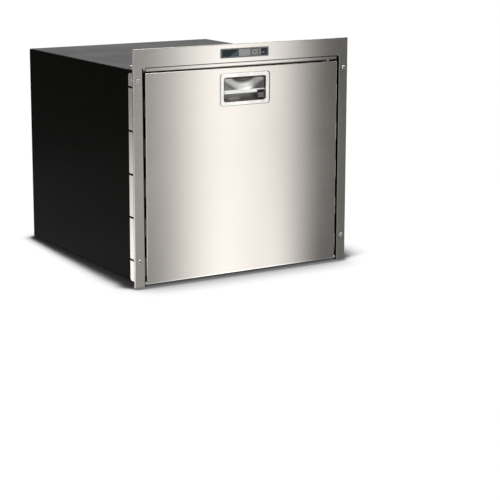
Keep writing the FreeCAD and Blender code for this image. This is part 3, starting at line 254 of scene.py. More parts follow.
# folded and cut edges catch the light as if slightly rounded
def soften(tree, bump, radius):
    rounded = putNode(tree, "ShaderNodeBevel", 100, -550, samples=4)
    setInputs(rounded, Radius=radius)
    wire(tree, rounded.outputs[0], bump.inputs["Normal"])


def setLook(tree, shader, colour, sheen, **settings):
    wire(tree, colour, shader.inputs["Base Color"])
    wire(tree, sheen, shader.inputs["Roughness"])
    setInputs(shader, **settings)


# a roughness made uneven by handling
def unevenSheen(tree, roughness, **patches):
    smudge = useGroup(tree, smudgeGroup, -600, -100, **patches)
    return mathNode(tree, "ADD", 100, -50, smudge.outputs["Value"], roughness, clamp=True)


# a soft-ended band on an axis, by its centre, half width and soft edge
def bandMask(tree, x, y, value, centre, half, soft):
    offset = mathNode(tree, "SUBTRACT", x, y, value, centre)
    away = mathNode(tree, "ABSOLUTE", x + 150, y, offset)
    return remap(tree, x + 300, y, away, half + soft, half)


# how far a place on the front lies beyond a rounded rectangle
def roundedReach(tree, x, y, split, centre, half, corner):
    squares = []
    for row, axis in enumerate((0, 2)):
        level = y - 150 * row
        offset = mathNode(tree, "SUBTRACT", x, level, split.outputs[axis], centre[row])
        reach = mathNode(tree, "ABSOLUTE", x + 150, level, offset)
        over = mathNode(tree, "SUBTRACT", x + 300, level, reach, half[row] - corner)
        kept = mathNode(tree, "MAXIMUM", x + 450, level, over, 0.0)
        squares.append(mathNode(tree, "POWER", x + 600, level, kept, 2.0))
    total = mathNode(tree, "ADD", x + 750, y, *squares)
    away = mathNode(tree, "POWER", x + 900, y, total, 0.5)
    return mathNode(tree, "SUBTRACT", x + 1050, y, away, corner)


sheetLook = {
    "lineSpan": (0.6, 1.4),
    "wearAndHighlightRadius": 0.0012,
    "edgeRadius": 0.0008,
    "gapReach": 0.008,
    "gapFall": 0.38,
    "streakSpan": (0.3, 0.7),
    "streakSheen": (-0.02, 0.03),
    "stretch": 0.8,
    "stretchTurn": 0.25,
}


# brushed sheet: two scales of level lines, smudged sheen, brighter edges from wear and a painted highlight
def brushedSheet(name, light, dark, edge, roughness, lineBump, gapOpen=0.86, dress=None):
    look = sheetLook
    material, tree, shader = newFinish(name)
    grain = useGroup(tree, grainGroup, -600, 200)
    wornAndLit = useGroup(tree, edgeWearAndHighlightGroup, -600, -400, Radius=look["wearAndHighlightRadius"])
    lines = mathNode(tree, "ADD", -350, 250, grain.outputs["Streak"], grain.outputs["Band"])
    sheet = mixColour(tree, 50, 250, remap(tree, -150, 250, lines, *look["lineSpan"]), dark, light)
    rubbedAndLit = mixColour(tree, 250, 250, wornAndLit.outputs["Mask"], sheet, edge)
    gap = useGroup(tree, creviceGroup, 200, 500,
                   Reach=look["gapReach"], Open=gapOpen, Shut=gapOpen - look["gapFall"])
    shaded = mixColour(tree, 420, 250, gap.outputs["Mask"], rubbedAndLit, gapTone)
    if dress:
        shaded = dress(tree, splitPlace(tree, -300, 700), shaded)
    limits = [roughness + change for change in look["streakSheen"]]
    streaky = remap(tree, -150, -50, grain.outputs["Streak"], *look["streakSpan"], *limits)
    sheen = unevenSheen(tree, streaky, Scale=5.0, Low=-0.02, High=0.03)
    setLook(tree, shader, shaded, sheen, Metallic=1.0,
            Anisotropic=look["stretch"], Anisotropic_Rotation=look["stretchTurn"])
    bump = addBump(tree, shader, grain.outputs["Streak"], lineBump)
    soften(tree, bump, look["edgeRadius"])
    return material


frameLook = {
    "shadeBehind": -0.3150,
    "shadeBelow": 0.5135,
    "creaseAcross": (0.5143, 0.0007, 0.0006),
    "creaseAlong": (0.0, 0.2645, 0.0005),
    "creaseTone": (0.07, 0.067, 0.062, 1),
    "topEdge": (0.5563, 0.5568),
    "topEdgeFade": (-0.10, 0.12),
    "topEdgeLeft": (0.24, 0.23, 0.215, 1),
    "topEdgeRight": (0.52, 0.50, 0.47, 1),
    "legInner": 0.270,
    "legTop": 0.5136,
    "legShade": (0.0, 0.5, 0.0007, 0.0031),
    "legShadeLeast": 0.0005,
    "legGlint": (0.2715, 0.0009, 0.0004),
    "legGlintTone": (0.95, 0.92, 0.88, 1),
    "lipEnd": 0.2632,
    "lipBack": -0.300,
    "lipShade": (0.35, 0.338, 0.318, 1),
}


# painted shadow: folds behind the face are painted near black where they lie in shade; painted shade along the
# lip's crease and on the top edge, darkest on its left part
def dressFrame(tree, split, shaded):
    look = frameLook
    x, y, z = split.outputs
    # painted shadow on the folds behind the face
    behind = mathNode(tree, "GREATER_THAN", 100, 900, y, look["shadeBehind"])
    below = mathNode(tree, "LESS_THAN", 100, 750, z, look["shadeBelow"])
    folded = mathNode(tree, "MULTIPLY", 250, 850, behind, below)
    # painted shade along the lip's crease
    across = bandMask(tree, 100, 1100, z, *look["creaseAcross"])
    along = bandMask(tree, 100, 1300, x, *look["creaseAlong"])
    crease = mathNode(tree, "MULTIPLY", 600, 1200, across, along)
    creased = mixColour(tree, 750, 900, crease, shaded, look["creaseTone"])
    # painted shade on the top edge, darker to the left
    high = remap(tree, 100, 1500, z, *look["topEdge"])
    far = remap(tree, 100, 1700, x, *look["topEdgeFade"])
    dull = mixColour(tree, 300, 1700, far, look["topEdgeLeft"], look["topEdgeRight"])
    edged = mixColour(tree, 900, 900, high, creased, dull)
    # inner edge of each leg: shaded on both, with a glint beside it on the right one
    aside = mathNode(tree, "ABSOLUTE", 100, 1900, x)
    inward = mathNode(tree, "SUBTRACT", 250, 1900, aside, look["legInner"])
    legged = mathNode(tree, "LESS_THAN", 250, 2050, z, look["legTop"])
    glint = bandMask(tree, 400, 2200, x, *look["legGlint"])
    glinted = mixColour(tree, 1000, 1100, mathNode(tree, "MULTIPLY", 850, 2200, glint, legged),
                        edged, look["legGlintTone"])
    width = remap(tree, 250, 2350, z, *look["legShade"])
    onLeft = mathNode(tree, "LESS_THAN", 250, 2500, x, 0.0)
    leftWidth = mathNode(tree, "MULTIPLY", 400, 2400, width, onLeft)
    reach = mathNode(tree, "MAXIMUM", 550, 2400, leftWidth, look["legShadeLeast"])
    near = mathNode(tree, "LESS_THAN", 700, 2200, inward, reach)
    pastLip = mathNode(tree, "GREATER_THAN", 700, 2350, aside, look["lipEnd"])
    beside = mathNode(tree, "MULTIPLY", 800, 2250, near, pastLip)
    inShade = mathNode(tree, "MULTIPLY", 850, 2100, beside, legged)
    shadowed = mathNode(tree, "MAXIMUM", 1000, 1500, folded, inShade)
    # under the lip the painted shadow is paler, as far back as it shows
    deep = mathNode(tree, "GREATER_THAN", 850, 2450, y, look["lipBack"])
    covered = mathNode(tree, "MAXIMUM", 1000, 2350, pastLip, deep)
    shadowTone = mixColour(tree, 1150, 1100, covered, look["lipShade"], gapShadow)
    return mixColour(tree, 1300, 900, shadowed, glinted, shadowTone)


flangeLook = {"inner": 0.2697}


# painted shadow: the flange's inner face and front edge are painted near black behind the gap
def dressFlange(tree, split, shaded):
    aside = mathNode(tree, "ABSOLUTE", 100, 900, split.outputs[0])
    inside = mathNode(tree, "LESS_THAN", 250, 900, aside, flangeLook["inner"])
    return mixColour(tree, 500, 800, inside, shaded, gapShadow)


doorLook = {
    "bezelShadowCentre": (0.0022, 0.4509),
    "bezelShadowHalf": (0.067, 0.0369),
    "bezelShadowCorner": 0.006,
    "bezelShadowFade": (0.0021, 0.00147),
    "bezelShadowTone": (0.16, 0.156, 0.148, 1),
    "topEdge": (0.5010, 0.5014),
    "topTone": (0.34, 0.325, 0.305, 1),
    "lowEdge": (0.0107, 0.0103),
    "lowTone": (0.98, 0.97, 0.95, 1),
    "sideStart": 0.2643,
    "sideBehind": -0.3176,
}


# a painted shadow round the latch bezel, painted shade on the top edge, a painted highlight on the low edge and
# painted near-black shadow on the return flanges at the sides
def dressDoor(tree, split, shaded):
    look = doorLook
    x, y, z = split.outputs
    # painted shadow round the latch bezel, set off to the right
    outside = roundedReach(tree, 50, 900, split, look["bezelShadowCentre"], look["bezelShadowHalf"], look["bezelShadowCorner"])
    bezelShadow = remap(tree, 1250, 850, outside, *look["bezelShadowFade"])
    bezelShaded = mixColour(tree, 1400, 700, bezelShadow, shaded, look["bezelShadowTone"])
    # painted shade on the top edge, then a painted highlight on the low edge
    topped = mixColour(tree, 1550, 700, remap(tree, 650, 500, z, *look["topEdge"]), bezelShaded, look["topTone"])
    edged = mixColour(tree, 1700, 700, remap(tree, 650, 350, z, *look["lowEdge"]), topped, look["lowTone"])
    # painted near-black shadow on the return flanges at the sides
    aside = mathNode(tree, "ABSOLUTE", 500, 200, x)
    outer = mathNode(tree, "GREATER_THAN", 650, 200, aside, look["sideStart"])
    behind = mathNode(tree, "GREATER_THAN", 650, 50, y, look["sideBehind"])
    shadowed = mathNode(tree, "MULTIPLY", 800, 150, outer, behind)
    return mixColour(tree, 1850, 700, shadowed, edged, gapShadow)


# plain or plated metal: soft patches, fine pitting and edges made bright by wear and a painted highlight
def platedMetal(name, light, dark, edge, roughness, pit, spangle=0.0, pocket=None, metallic=1.0):
    material, tree, shader = newFinish(name)
    wornAndLit = useGroup(tree, edgeWearAndHighlightGroup, -600, -250, Radius=0.0006, Noise_Scale=220.0)
    skin = useGroup(tree, skinGroup, -600, 250, Scale=1500.0)
    tone = skin.outputs["Fleck"]
    if spangle:
        place = putNode(tree, "ShaderNodeTexCoord", -900, 500)
        crystal = setInputs(putNode(tree, "ShaderNodeTexVoronoi", -600, 500), Scale=spangle)
        wire(tree, place.outputs["Object"], crystal.inputs["Vector"])
        plain = putNode(tree, "ShaderNodeRGBToBW", -350, 500)
        wire(tree, crystal.outputs["Color"], plain.inputs[0])
        tone = plain.outputs[0]
    sheet = mixColour(tree, 0, 250, tone, dark, light)
    rubbedAndLit = mixColour(tree, 250, 250, wornAndLit.outputs["Mask"], sheet, edge)
    if pocket:
        deep = useGroup(tree, creviceGroup, 200, 500,
                        Reach=pocket["reach"], Open=pocket["open"], Shut=pocket["shut"])
        rubbedAndLit = mixColour(tree, 420, 250, deep.outputs["Mask"], rubbedAndLit, pocket["tone"])
    sheen = unevenSheen(tree, roughness, Scale=40.0, Low=-0.05, High=0.08)
    setLook(tree, shader, rubbedAndLit, sheen, Metallic=metallic)
    addBump(tree, shader, skin.outputs["Height"], pit)
    return material


# paint, plastic, rubber and foam share one build: colour fleck, skin bump, edge tint from wear and a painted
# highlight, dust
def coatedSurface(name, colour, fleck, edge, roughness, skinScale, skinBump,
                  dust=0.0, specular=0.5, coat=0.0, uneven=1.0, tint=grey(1)):
    material, tree, shader = newFinish(name)
    skin = useGroup(tree, skinGroup, -600, 250, Scale=skinScale)
    wornAndLit = useGroup(tree, edgeWearAndHighlightGroup, -600, -250, Radius=0.0008, Noise_Scale=90.0)
    settled = useGroup(tree, dustGroup, -600, -500, Amount=dust)
    base = mixColour(tree, -150, 250, skin.outputs["Fleck"], colour, fleck)
    rubbedAndLit = mixColour(tree, 50, 250, wornAndLit.outputs["Mask"], base, edge)
    dusty = mixColour(tree, 250, 250, settled.outputs["Mask"], rubbedAndLit, dustTone)
    sheen = unevenSheen(tree, roughness, Scale=9.0, Low=-0.05 * uneven, High=0.07 * uneven)
    setLook(tree, shader, dusty, sheen, Specular_IOR_Level=specular, Specular_Tint=tint,
            Coat_Weight=coat, Coat_Roughness=0.08)
    addBump(tree, shader, skin.outputs["Height"], skinBump, coatRelief)
    return material


paddleLook = {
    "barTone": (0.985, 0.98, 0.965, 1),
    "fanTone": (0.98, 0.97, 0.95, 1),
    "sideTone": (0.26, 0.253, 0.242, 1),
    "shadeTone": (0.125, 0.122, 0.117, 1),
    "endTone": grey(0),
    "roughness": 0.36,
    "pit": 0.02,
    "barTop": 0.4487,
    "barSoft": 0.0004,
    "fanHalf": 0.017,
    "fanFlare": 1.6,
    "fanSoft": 0.007,
    "shadeCentre": 0.5115,
    "shadeReach": (0.0445, 0.0518),
    "rightFade": (0.010, 0.031, 1.0, 0.45),
    "soft": 0.003,
}


# painted light and shade on the paddle: a painted highlight on the bar, a painted shade rounded under the top,
# a painted highlight fanning out in the bowl, painted grey shade on the sides and at the right end
def scoopedMetal(name):
    look = paddleLook
    material, tree, shader = newFinish(name)
    x, _, z = splitPlace(tree, -1300, 200).outputs
    # painted highlight on the bar
    onBar = remap(tree, -650, 350, z, look["barTop"] + look["barSoft"], look["barTop"])
    # painted highlight fanning out up the bowl
    aside = mathNode(tree, "ABSOLUTE", -800, 100, x)
    rise = mathNode(tree, "SUBTRACT", -950, -50, z, look["barTop"])
    flare = mathNode(tree, "MULTIPLY", -800, -50, rise, look["fanFlare"])
    width = mathNode(tree, "ADD", -650, -50, flare, look["fanHalf"])
    beyond = mathNode(tree, "SUBTRACT", -500, 50, aside, width)
    inFan = remap(tree, -350, 50, beyond, look["fanSoft"], -look["fanSoft"])
    # painted shade, rounded, under the top
    below = mathNode(tree, "SUBTRACT", -950, -300, z, look["shadeCentre"])
    squares = [mathNode(tree, "MULTIPLY", -800, -250 - 150 * row, value, value)
               for row, value in enumerate((aside, below))]
    away = mathNode(tree, "POWER", -500, -300, mathNode(tree, "ADD", -650, -300, *squares), 0.5)
    lit = remap(tree, -350, -300, away, *look["shadeReach"])
    sides = mixColour(tree, -150, 50, inFan, look["sideTone"], look["fanTone"])
    shaded = mixColour(tree, 50, 0, lit, look["shadeTone"], sides)
    # painted shade darkening the right end
    turned = remap(tree, -150, -150, x, *look["rightFade"])
    body = mixColour(tree, 180, 0, turned, look["endTone"], shaded)
    barred = mixColour(tree, 300, 200, onBar, body, look["barTone"])
    sheen = unevenSheen(tree, look["roughness"], Scale=60.0, Low=-0.04, High=0.05)
    setLook(tree, shader, barred, sheen, Metallic=1.0)
    skin = useGroup(tree, skinGroup, -450, -1050, Scale=1500.0)
    soften(tree, addBump(tree, shader, skin.outputs["Height"], look["pit"]), look["soft"])
    return material


cupLook = {
    "outerTone": (0.74, 0.725, 0.70, 1),
    "edgeTone": (0.82, 0.81, 0.79, 1),
    "pocketTones": ((0.29, 0.284, 0.271, 1), (0.46, 0.453, 0.43, 1)),
    "pocketStart": (-0.3182, -0.3150),
    "pocketSatin": 0.75,
    "pocketRoughness": 0.45,
    "roughness": 0.16,
    "pit": 0.02,
    "side": (0.0658, 0.0666),
    "sideTone": (0.96, 0.95, 0.93, 1),
    "glintHeight": (0.4262, 0.0014, 0.0008),
    "glintSide": (-0.018, 0.012, 0.006),
    "glintTone": (0.98, 0.97, 0.95, 1),
    "openingCentre": (0.0, 0.4509),
    "openingHalf": (0.0576, 0.0275),
    "openingCorner": 0.004,
    "rim": 0.0015,
    "rimEnd": 0.0536,
    "rimTone": (0.035, 0.034, 0.033, 1),
}


# the latch housing: bright outside, a grey pocket inside painted as in shade, with a painted glint low down, a
# painted highlight on the side walls and a painted shadow line round the opening
def pocketMetal(name):
    look = cupLook
    material, tree, shader = newFinish(name)
    split = splitPlace(tree, -900, 200)
    x, y, z = split.outputs
    inside = remap(tree, -450, 250, y, *look["pocketStart"])
    skin = useGroup(tree, skinGroup, -450, 0, Scale=1500.0)
    mottled = mixColour(tree, -150, 50, skin.outputs["Fleck"], *look["pocketTones"])
    wornAndLit = useGroup(tree, edgeWearAndHighlightGroup, -450, -250, Radius=0.0006, Noise_Scale=220.0)
    outer = mixColour(tree, -150, 250, wornAndLit.outputs["Mask"], look["outerTone"], look["edgeTone"])
    # painted highlight: the side walls light and not metal
    aside = mathNode(tree, "ABSOLUTE", -450, 450, x)
    atSide = remap(tree, -250, 450, aside, *look["side"])
    sided = mixColour(tree, 0, 300, atSide, outer, look["sideTone"])
    # painted glint low in the pocket
    low = bandMask(tree, -450, 900, z, *look["glintHeight"])
    across = bandMask(tree, -450, 1150, x, *look["glintSide"])
    glint = mathNode(tree, "MULTIPLY", -150, 800, low, across)
    glintedPocket = mixColour(tree, 0, 700, glint, mottled, look["glintTone"])
    cup = mixColour(tree, 150, 200, inside, sided, glintedPocket)
    # painted shadow line round the opening, stopping short of its right end
    outside = roundedReach(tree, -450, 1400, split,
                           look["openingCentre"], look["openingHalf"], look["openingCorner"])
    near = mathNode(tree, "LESS_THAN", 750, 1450, outside, look["rim"])
    before = mathNode(tree, "LESS_THAN", 600, 1600, x, look["rimEnd"])
    rim = mathNode(tree, "MULTIPLY", 900, 1450, near, before)
    shaded = mixColour(tree, 600, 700, inside, look["rimTone"], glintedPocket)
    rimmed = mixColour(tree, 750, 200, rim, cup, shaded)
    dulled = mathNode(tree, "MULTIPLY", -150, 550, inside, look["pocketSatin"])
    satin = mathNode(tree, "MAXIMUM", 0, 450, dulled, atSide)
    wire(tree, mathNode(tree, "SUBTRACT", 300, -50, 1.0, satin), shader.inputs["Metallic"])
    sheen = unevenSheen(tree, look["roughness"], Scale=40.0, Low=-0.05, High=0.08)
    least = mathNode(tree, "MULTIPLY", 100, -250, inside, look["pocketRoughness"])
    setLook(tree, shader, rimmed, mathNode(tree, "MAXIMUM", 300, -250, sheen, least))
    addBump(tree, shader, skin.outputs["Height"], look["pit"])
    return material


windowLook = {
    "edge": 0.003,
    "fade": 0.03,
    "fadeTo": 0.5,
    "roughness": 0.1,
    "specular": 0.12,
    "ripple": 0.02,
}


# smoked window: nearly black, with a painted reflection: a paler wedge rising to one side where the lens
# catches the light
def smokedWindow(name, deep, wedge, centre, slope, start):
    look = windowLook
    material, tree, shader = newFinish(name)
    x, _, z = splitPlace(tree, -900, 200).outputs
    aside = mathNode(tree, "SUBTRACT", -450, 250, x, centre[0])
    level = mathNode(tree, "SUBTRACT", -450, 100, z, centre[1])
    lean = mathNode(tree, "ADD", -150, 200, aside, mathNode(tree, "MULTIPLY", -300, 100, level, slope))
    lit = remap(tree, 0, 200, lean, start, start + look["edge"])
    fade = remap(tree, 0, 0, lean, start, start + look["fade"], 1.0, look["fadeTo"])
    glow = mathNode(tree, "MULTIPLY", 150, 100, lit, fade)
    lens = mixColour(tree, 250, 250, glow, deep, wedge)
    sheen = unevenSheen(tree, look["roughness"], Scale=120.0, Low=-0.02, High=0.05)
    setLook(tree, shader, lens, sheen, Specular_IOR_Level=look["specular"])
    skin = useGroup(tree, skinGroup, -300, -400, Scale=260.0)
    addBump(tree, shader, skin.outputs["Height"], look["ripple"], coatRelief)
    return material


steelSheet = {
    "light": (0.69, 0.662, 0.618, 1),
    "dark": (0.655, 0.627, 0.585, 1),
    "edge": (0.80, 0.785, 0.76, 1),
    "roughness": 0.17,
    "lineBump": 0.07,
}
doorSheet = {
    "light": (0.69, 0.652, 0.605, 1),
    "dark": (0.672, 0.634, 0.588, 1),
    "edge": (0.80, 0.785, 0.76, 1),
    "roughness": 0.17,
    "lineBump": 0.04,
    "gapOpen": 0.64,
}
# painted shade in the screw recesses
screwPocket = {"reach": 0.003, "open": 0.80, "shut": 0.45, "tone": grey(0.01)}

# metals: two tones, the edge, roughness and pitting; coats: two tones, the edge, roughness and the skin
finishes = {
    "stainless": brushedSheet("brushed stainless", **steelSheet),
    "plate_grey": brushedSheet(
        "plain panel plate", grey(0.30), grey(0.25), grey(0.42), 0.36, 0.10),
    "screw_steel": platedMetal(
        "screw steel", grey(0.86), grey(0.76), grey(0.92), 0.20, 0.05, pocket=screwPocket),
    "galvanised": platedMetal(
        "galvanised sheet", (0.56, 0.58, 0.60, 1), (0.40, 0.42, 0.44, 1), (0.66, 0.67, 0.68, 1), 0.42, 0.06,
        spangle=110.0),
    "latch_chrome": platedMetal(
        "satin chrome", (0.72, 0.705, 0.68, 1), (0.67, 0.655, 0.63, 1), (0.80, 0.79, 0.775, 1), 0.16, 0.02),
    "aluminium": platedMetal(
        "mill aluminium", (0.80, 0.81, 0.82, 1), (0.68, 0.69, 0.70, 1), (0.86, 0.87, 0.88, 1), 0.34, 0.05),
    "copper": platedMetal(
        "bare copper", (0.78, 0.42, 0.27, 1), (0.55, 0.27, 0.16, 1), (0.86, 0.55, 0.40, 1), 0.30, 0.05),
    "runner_zinc": platedMetal(
        "runner zinc", (0.66, 0.67, 0.68, 1), (0.54, 0.55, 0.56, 1), (0.74, 0.75, 0.76, 1), 0.30, 0.05),
    "casing_black": coatedSurface(
        "black powder coat", (0.0032, 0.0029, 0.0023, 1), (0.0043, 0.0039, 0.0032, 1),
        (0.014, 0.0135, 0.012, 1), 0.26, 1400.0, 0.04,
        specular=0.0078, uneven=0.4, tint=(1.0, 0.94, 0.88, 1)),
    "foam": coatedSurface(
        "rigid foam", (0.80, 0.72, 0.48, 1), (0.86, 0.80, 0.58, 1), (0.88, 0.83, 0.64, 1), 0.85, 420.0, 0.5,
        specular=0.2),
    "liner_white": coatedSurface(
        "white lining", (0.80, 0.81, 0.81, 1), (0.84, 0.85, 0.85, 1), (0.88, 0.89, 0.89, 1), 0.28, 700.0, 0.05),
    "gasket_grey": coatedSurface(
        "soft seal", (0.16, 0.16, 0.165, 1), (0.20, 0.20, 0.205, 1), grey(0.26), 0.55, 1600.0, 0.08),
    "lock_black": coatedSurface(
        "black moulding", (0.022, 0.021, 0.02, 1), (0.035, 0.034, 0.032, 1), (0.09, 0.088, 0.085, 1),
        0.38, 1800.0, 0.15),
    "control_grey": coatedSurface(
        "panel moulding", (0.12, 0.123, 0.12, 1), (0.15, 0.153, 0.15, 1), (0.30, 0.305, 0.30, 1),
        0.42, 2200.0, 0.08),
    "button_grey": coatedSurface(
        "key moulding", (0.27, 0.272, 0.258, 1), (0.32, 0.322, 0.308, 1), (0.42, 0.42, 0.40, 1),
        0.42, 2600.0, 0.08),
    "board_green": coatedSurface(
        "circuit board", (0.02, 0.11, 0.05, 1), (0.03, 0.15, 0.07, 1), (0.10, 0.22, 0.12, 1),
        0.35, 1200.0, 0.05),
    "compressor_black": coatedSurface(
        "shell paint", grey(0.012), grey(0.018), grey(0.05), 0.30, 500.0, 0.12, dust=0.2, coat=0.3),
    "bracket_white": coatedSurface(
        "bracket paint", (0.76, 0.77, 0.77, 1), (0.80, 0.81, 0.81, 1), (0.85, 0.86, 0.86, 1),
        0.36, 1100.0, 0.10),
    "bin_white": coatedSurface(
        "bin moulding", (0.78, 0.80, 0.81, 1), (0.82, 0.84, 0.85, 1), (0.87, 0.89, 0.90, 1), 0.34, 900.0, 0.06),
    "fan_black": coatedSurface(
        "fan moulding", (0.02, 0.02, 0.021, 1), (0.03, 0.03, 0.031, 1), grey(0.07),
        0.40, 1500.0, 0.08, dust=0.25),
    "rubber_black": coatedSurface(
        "foot rubber", grey(0.018), grey(0.026), grey(0.05), 0.70, 1500.0, 0.15),
    "dark_window": smokedWindow(
        "smoked window", (0.014, 0.026, 0.028, 1), (0.085, 0.11, 0.125, 1),
        centre=(-0.031, 0.5364), slope=-1.6, start=0.001),
}

flangeSheet = brushedSheet("brushed flange", **steelSheet, dress=dressFlange)
ownFinishes = {
    "side_flange_left": flangeSheet,
    "side_flange_right": flangeSheet,
    "front_frame": brushedSheet("brushed frame", **steelSheet, dress=dressFrame),
    "door_skin": brushedSheet("brushed door", **doorSheet, dress=dressDoor),
    "latch_paddle": scoopedMetal("paddle chrome"),
    "latch_cup": pocketMetal("latch housing"),
    "lock_slider": coatedSurface(
        "lock moulding", (0.11, 0.107, 0.102, 1), (0.20, 0.196, 0.187, 1), (0.20, 0.196, 0.19, 1),
        0.42, 900.0, 0.3),
    "status_window": smokedWindow(
        "status lens", (0.006, 0.009, 0.011, 1), (0.030, 0.036, 0.046, 1),
        centre=(0.0537, 0.5364), slope=0.6, start=-0.004),
    "corner_guides": coatedSurface(
        "guide moulding", (0.82, 0.82, 0.81, 1), (0.86, 0.86, 0.85, 1), (0.90, 0.90, 0.89, 1),
        0.35, 1500.0, 0.05),
}


# every CAD node takes the finish of its slot in the record, or its own
def dressNodes():
    slotOf = {entry["node"]: entry["material_slot"] for entry in frame["record"]["subparts"]}
    for name, node in cadNodes.items():
        node.data.materials.clear()
        node.data.materials.append(ownFinishes.get(name, finishes[slotOf[name]]))


dressNodes()
print("finishes on all nodes")


# modelling helpers
smoothAngle = math.radians(40)
bevelAngle = math.radians(25)
sameLevel = 1e-5
facing = 0.9


def startClean():
    bpy.ops.object.select_all(action="DESELECT")


def applyPlace():
    bpy.ops.object.transform_apply(location=True, rotation=True, scale=True)


def takeUp(piece):
    startClean()
    piece.select_set(True)
    bpy.context.view_layer.objects.active = piece


# pick vertices or faces of one piece by their place, ready to be worked on in edit mode
def pick(piece, kind, test):
    if piece.mode == "EDIT":
        bpy.ops.object.mode_set(mode="OBJECT")
    bpy.context.tool_settings.mesh_select_mode = (kind == "VERT", False, kind == "FACE")
    mesh = piece.data
    for parts in (mesh.vertices, mesh.edges, mesh.polygons):
        parts.foreach_set("select", [False] * len(parts))
    if kind == "FACE":
        for face in mesh.polygons:
            face.select = test(face.center, face.normal)
    else:
        for vertex in mesh.vertices:
            vertex.select = test(vertex.co)
    bpy.ops.object.mode_set(mode="EDIT")


# a flat plate with round corners, with its face picked
def addPlate(name, centre, size, turn, corner, steps):
    startClean()
    bpy.ops.mesh.primitive_plane_add(size=1, location=centre, rotation=(turn, 0, 0))
    plate = bpy.context.object
    plate.name = name
    plate.scale = (*size, 1)
    applyPlace()
    pick(plate, "VERT", lambda place: True)
    bpy.ops.mesh.bevel(offset=corner, segments=steps, affect="VERTICES")
    pick(plate, "FACE", lambda place, normal: True)
    return plate


# a disc that faces forward, with its front picked
def addDisc(name, centre, sides, radius, depth, turn=0.0):
    startClean()
    bpy.ops.mesh.primitive_cylinder_add(vertices=sides, radius=radius, depth=depth,
                                        location=centre, rotation=(math.pi / 2, turn, 0))
    disc = bpy.context.object
    disc.name = name
    applyPlace()
    pick(disc, "FACE", lambda place, normal: normal.y < -facing)
    return disc


def extrudeBack(length):
    bpy.ops.mesh.extrude_region_move(TRANSFORM_OT_translate={"value": (0, length, 0)})


def leaveEdit():
    bpy.ops.mesh.select_all(action="SELECT")
    bpy.ops.mesh.normals_make_consistent(inside=False)
    bpy.ops.object.mode_set(mode="OBJECT")
    bpy.ops.object.shade_smooth_by_angle(angle=smoothAngle)


def roundEdges(piece, width, segments):
    bevel = piece.modifiers.new("edges", "BEVEL")
    bevel.width = width
    bevel.segments = segments
    bevel.limit_method = "ANGLE"
    bevel.angle_limit = bevelAngle
    bpy.ops.object.modifier_apply(modifier=bevel.name)


def settle(piece, body, finish):
    piece.data.materials.clear()
    piece.data.materials.append(finish)
    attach(piece, body)


# door seal: a foot, two bellows folds and the tube of the magnet strip
gasketSettings = {
    "width": 0.015,
    "corner": 0.027,
    "cornerSteps": 8,
    "folds": ((0.0, 0.0), (0.13, 0.0), (0.30, 0.0036), (0.50, 0.0009), (0.68, 0.0034),
              (0.80, 0.0010), (1.0, 0.0012)),
    "edge": 0.0005,
    "edgeSteps": 2,
}


def makeGasket():
    look = gasketSettings
    low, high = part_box("door_gasket")
    middle = [(a + b) / 2 for a, b in zip(low, high)]
    width, depth, height = [b - a for a, b in zip(low, high)]
    seal = addPlate("doorSeal", (middle[0], low[1], middle[2]), (width, height), -math.pi / 2,
                    look["corner"], look["cornerSteps"])
    bpy.ops.mesh.inset(thickness=look["width"], use_even_offset=True)
    bpy.ops.mesh.delete(type="FACE")
    levels = [low[1] + share * depth for share, draw in look["folds"]]
    for below, above in zip(levels, levels[1:]):
        pick(seal, "FACE", lambda place, normal: abs(place.y - below) < sameLevel and abs(normal.y) > facing)
        extrudeBack(above - below)

    # distance from the middle line of the ring, outwards positive
    def outward(place):
        reach = look["corner"] - look["width"] / 2
        x = max(abs(place.x - middle[0]) - width / 2 + look["corner"], 0)
        z = max(abs(place.z - middle[2]) - height / 2 + look["corner"], 0)
        return math.hypot(x, z) - reach

    for level, (share, draw) in zip(levels, look["folds"]):
        for side, inset in ((1, 0.0), (-1, look["width"])):
            halves = (width / 2 - inset, height / 2 - inset)
            scale = [(half - side * draw) / half for half in halves]
            pick(seal, "VERT", lambda place: abs(place.y - level) < sameLevel and outward(place) * side > 0)
            bpy.ops.transform.resize(value=(scale[0], 1, scale[1]), center_override=middle)
    leaveEdit()
    roundEdges(seal, look["edge"], look["edgeSteps"])
    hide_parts("door_gasket")
    settle(seal, "drawer", finishes["gasket_grey"])


# frame screws: a low dome with a crossed recess on a plain shank
screwSettings = {
    "sides": 40,
    "radius": 0.0047,
    "height": 0.0026,
    "crown": ((0.0005, 0.00062), (0.0008, 0.00046), (0.0012, 0.00034), (0.0011, 0.00014)),
    "shank": 0.0024,
    "tipLength": 0.002,
    "tipShare": 0.35,
    "recessLength": 0.0076,
    "recessWidth": 0.0026,
    "recessDepth": 0.0022,
    "recessShade": {"reach": 0.004, "open": 0.84, "shut": 0.62, "tone": grey(0.006)},
    "turn": 40.0,
    "light": (0.97, 0.97, 0.96, 1),
    "dark": (0.90, 0.90, 0.89, 1),
    "roughness": 0.22,
    "pit": 0.05,
    "metallic": 0.35,
}


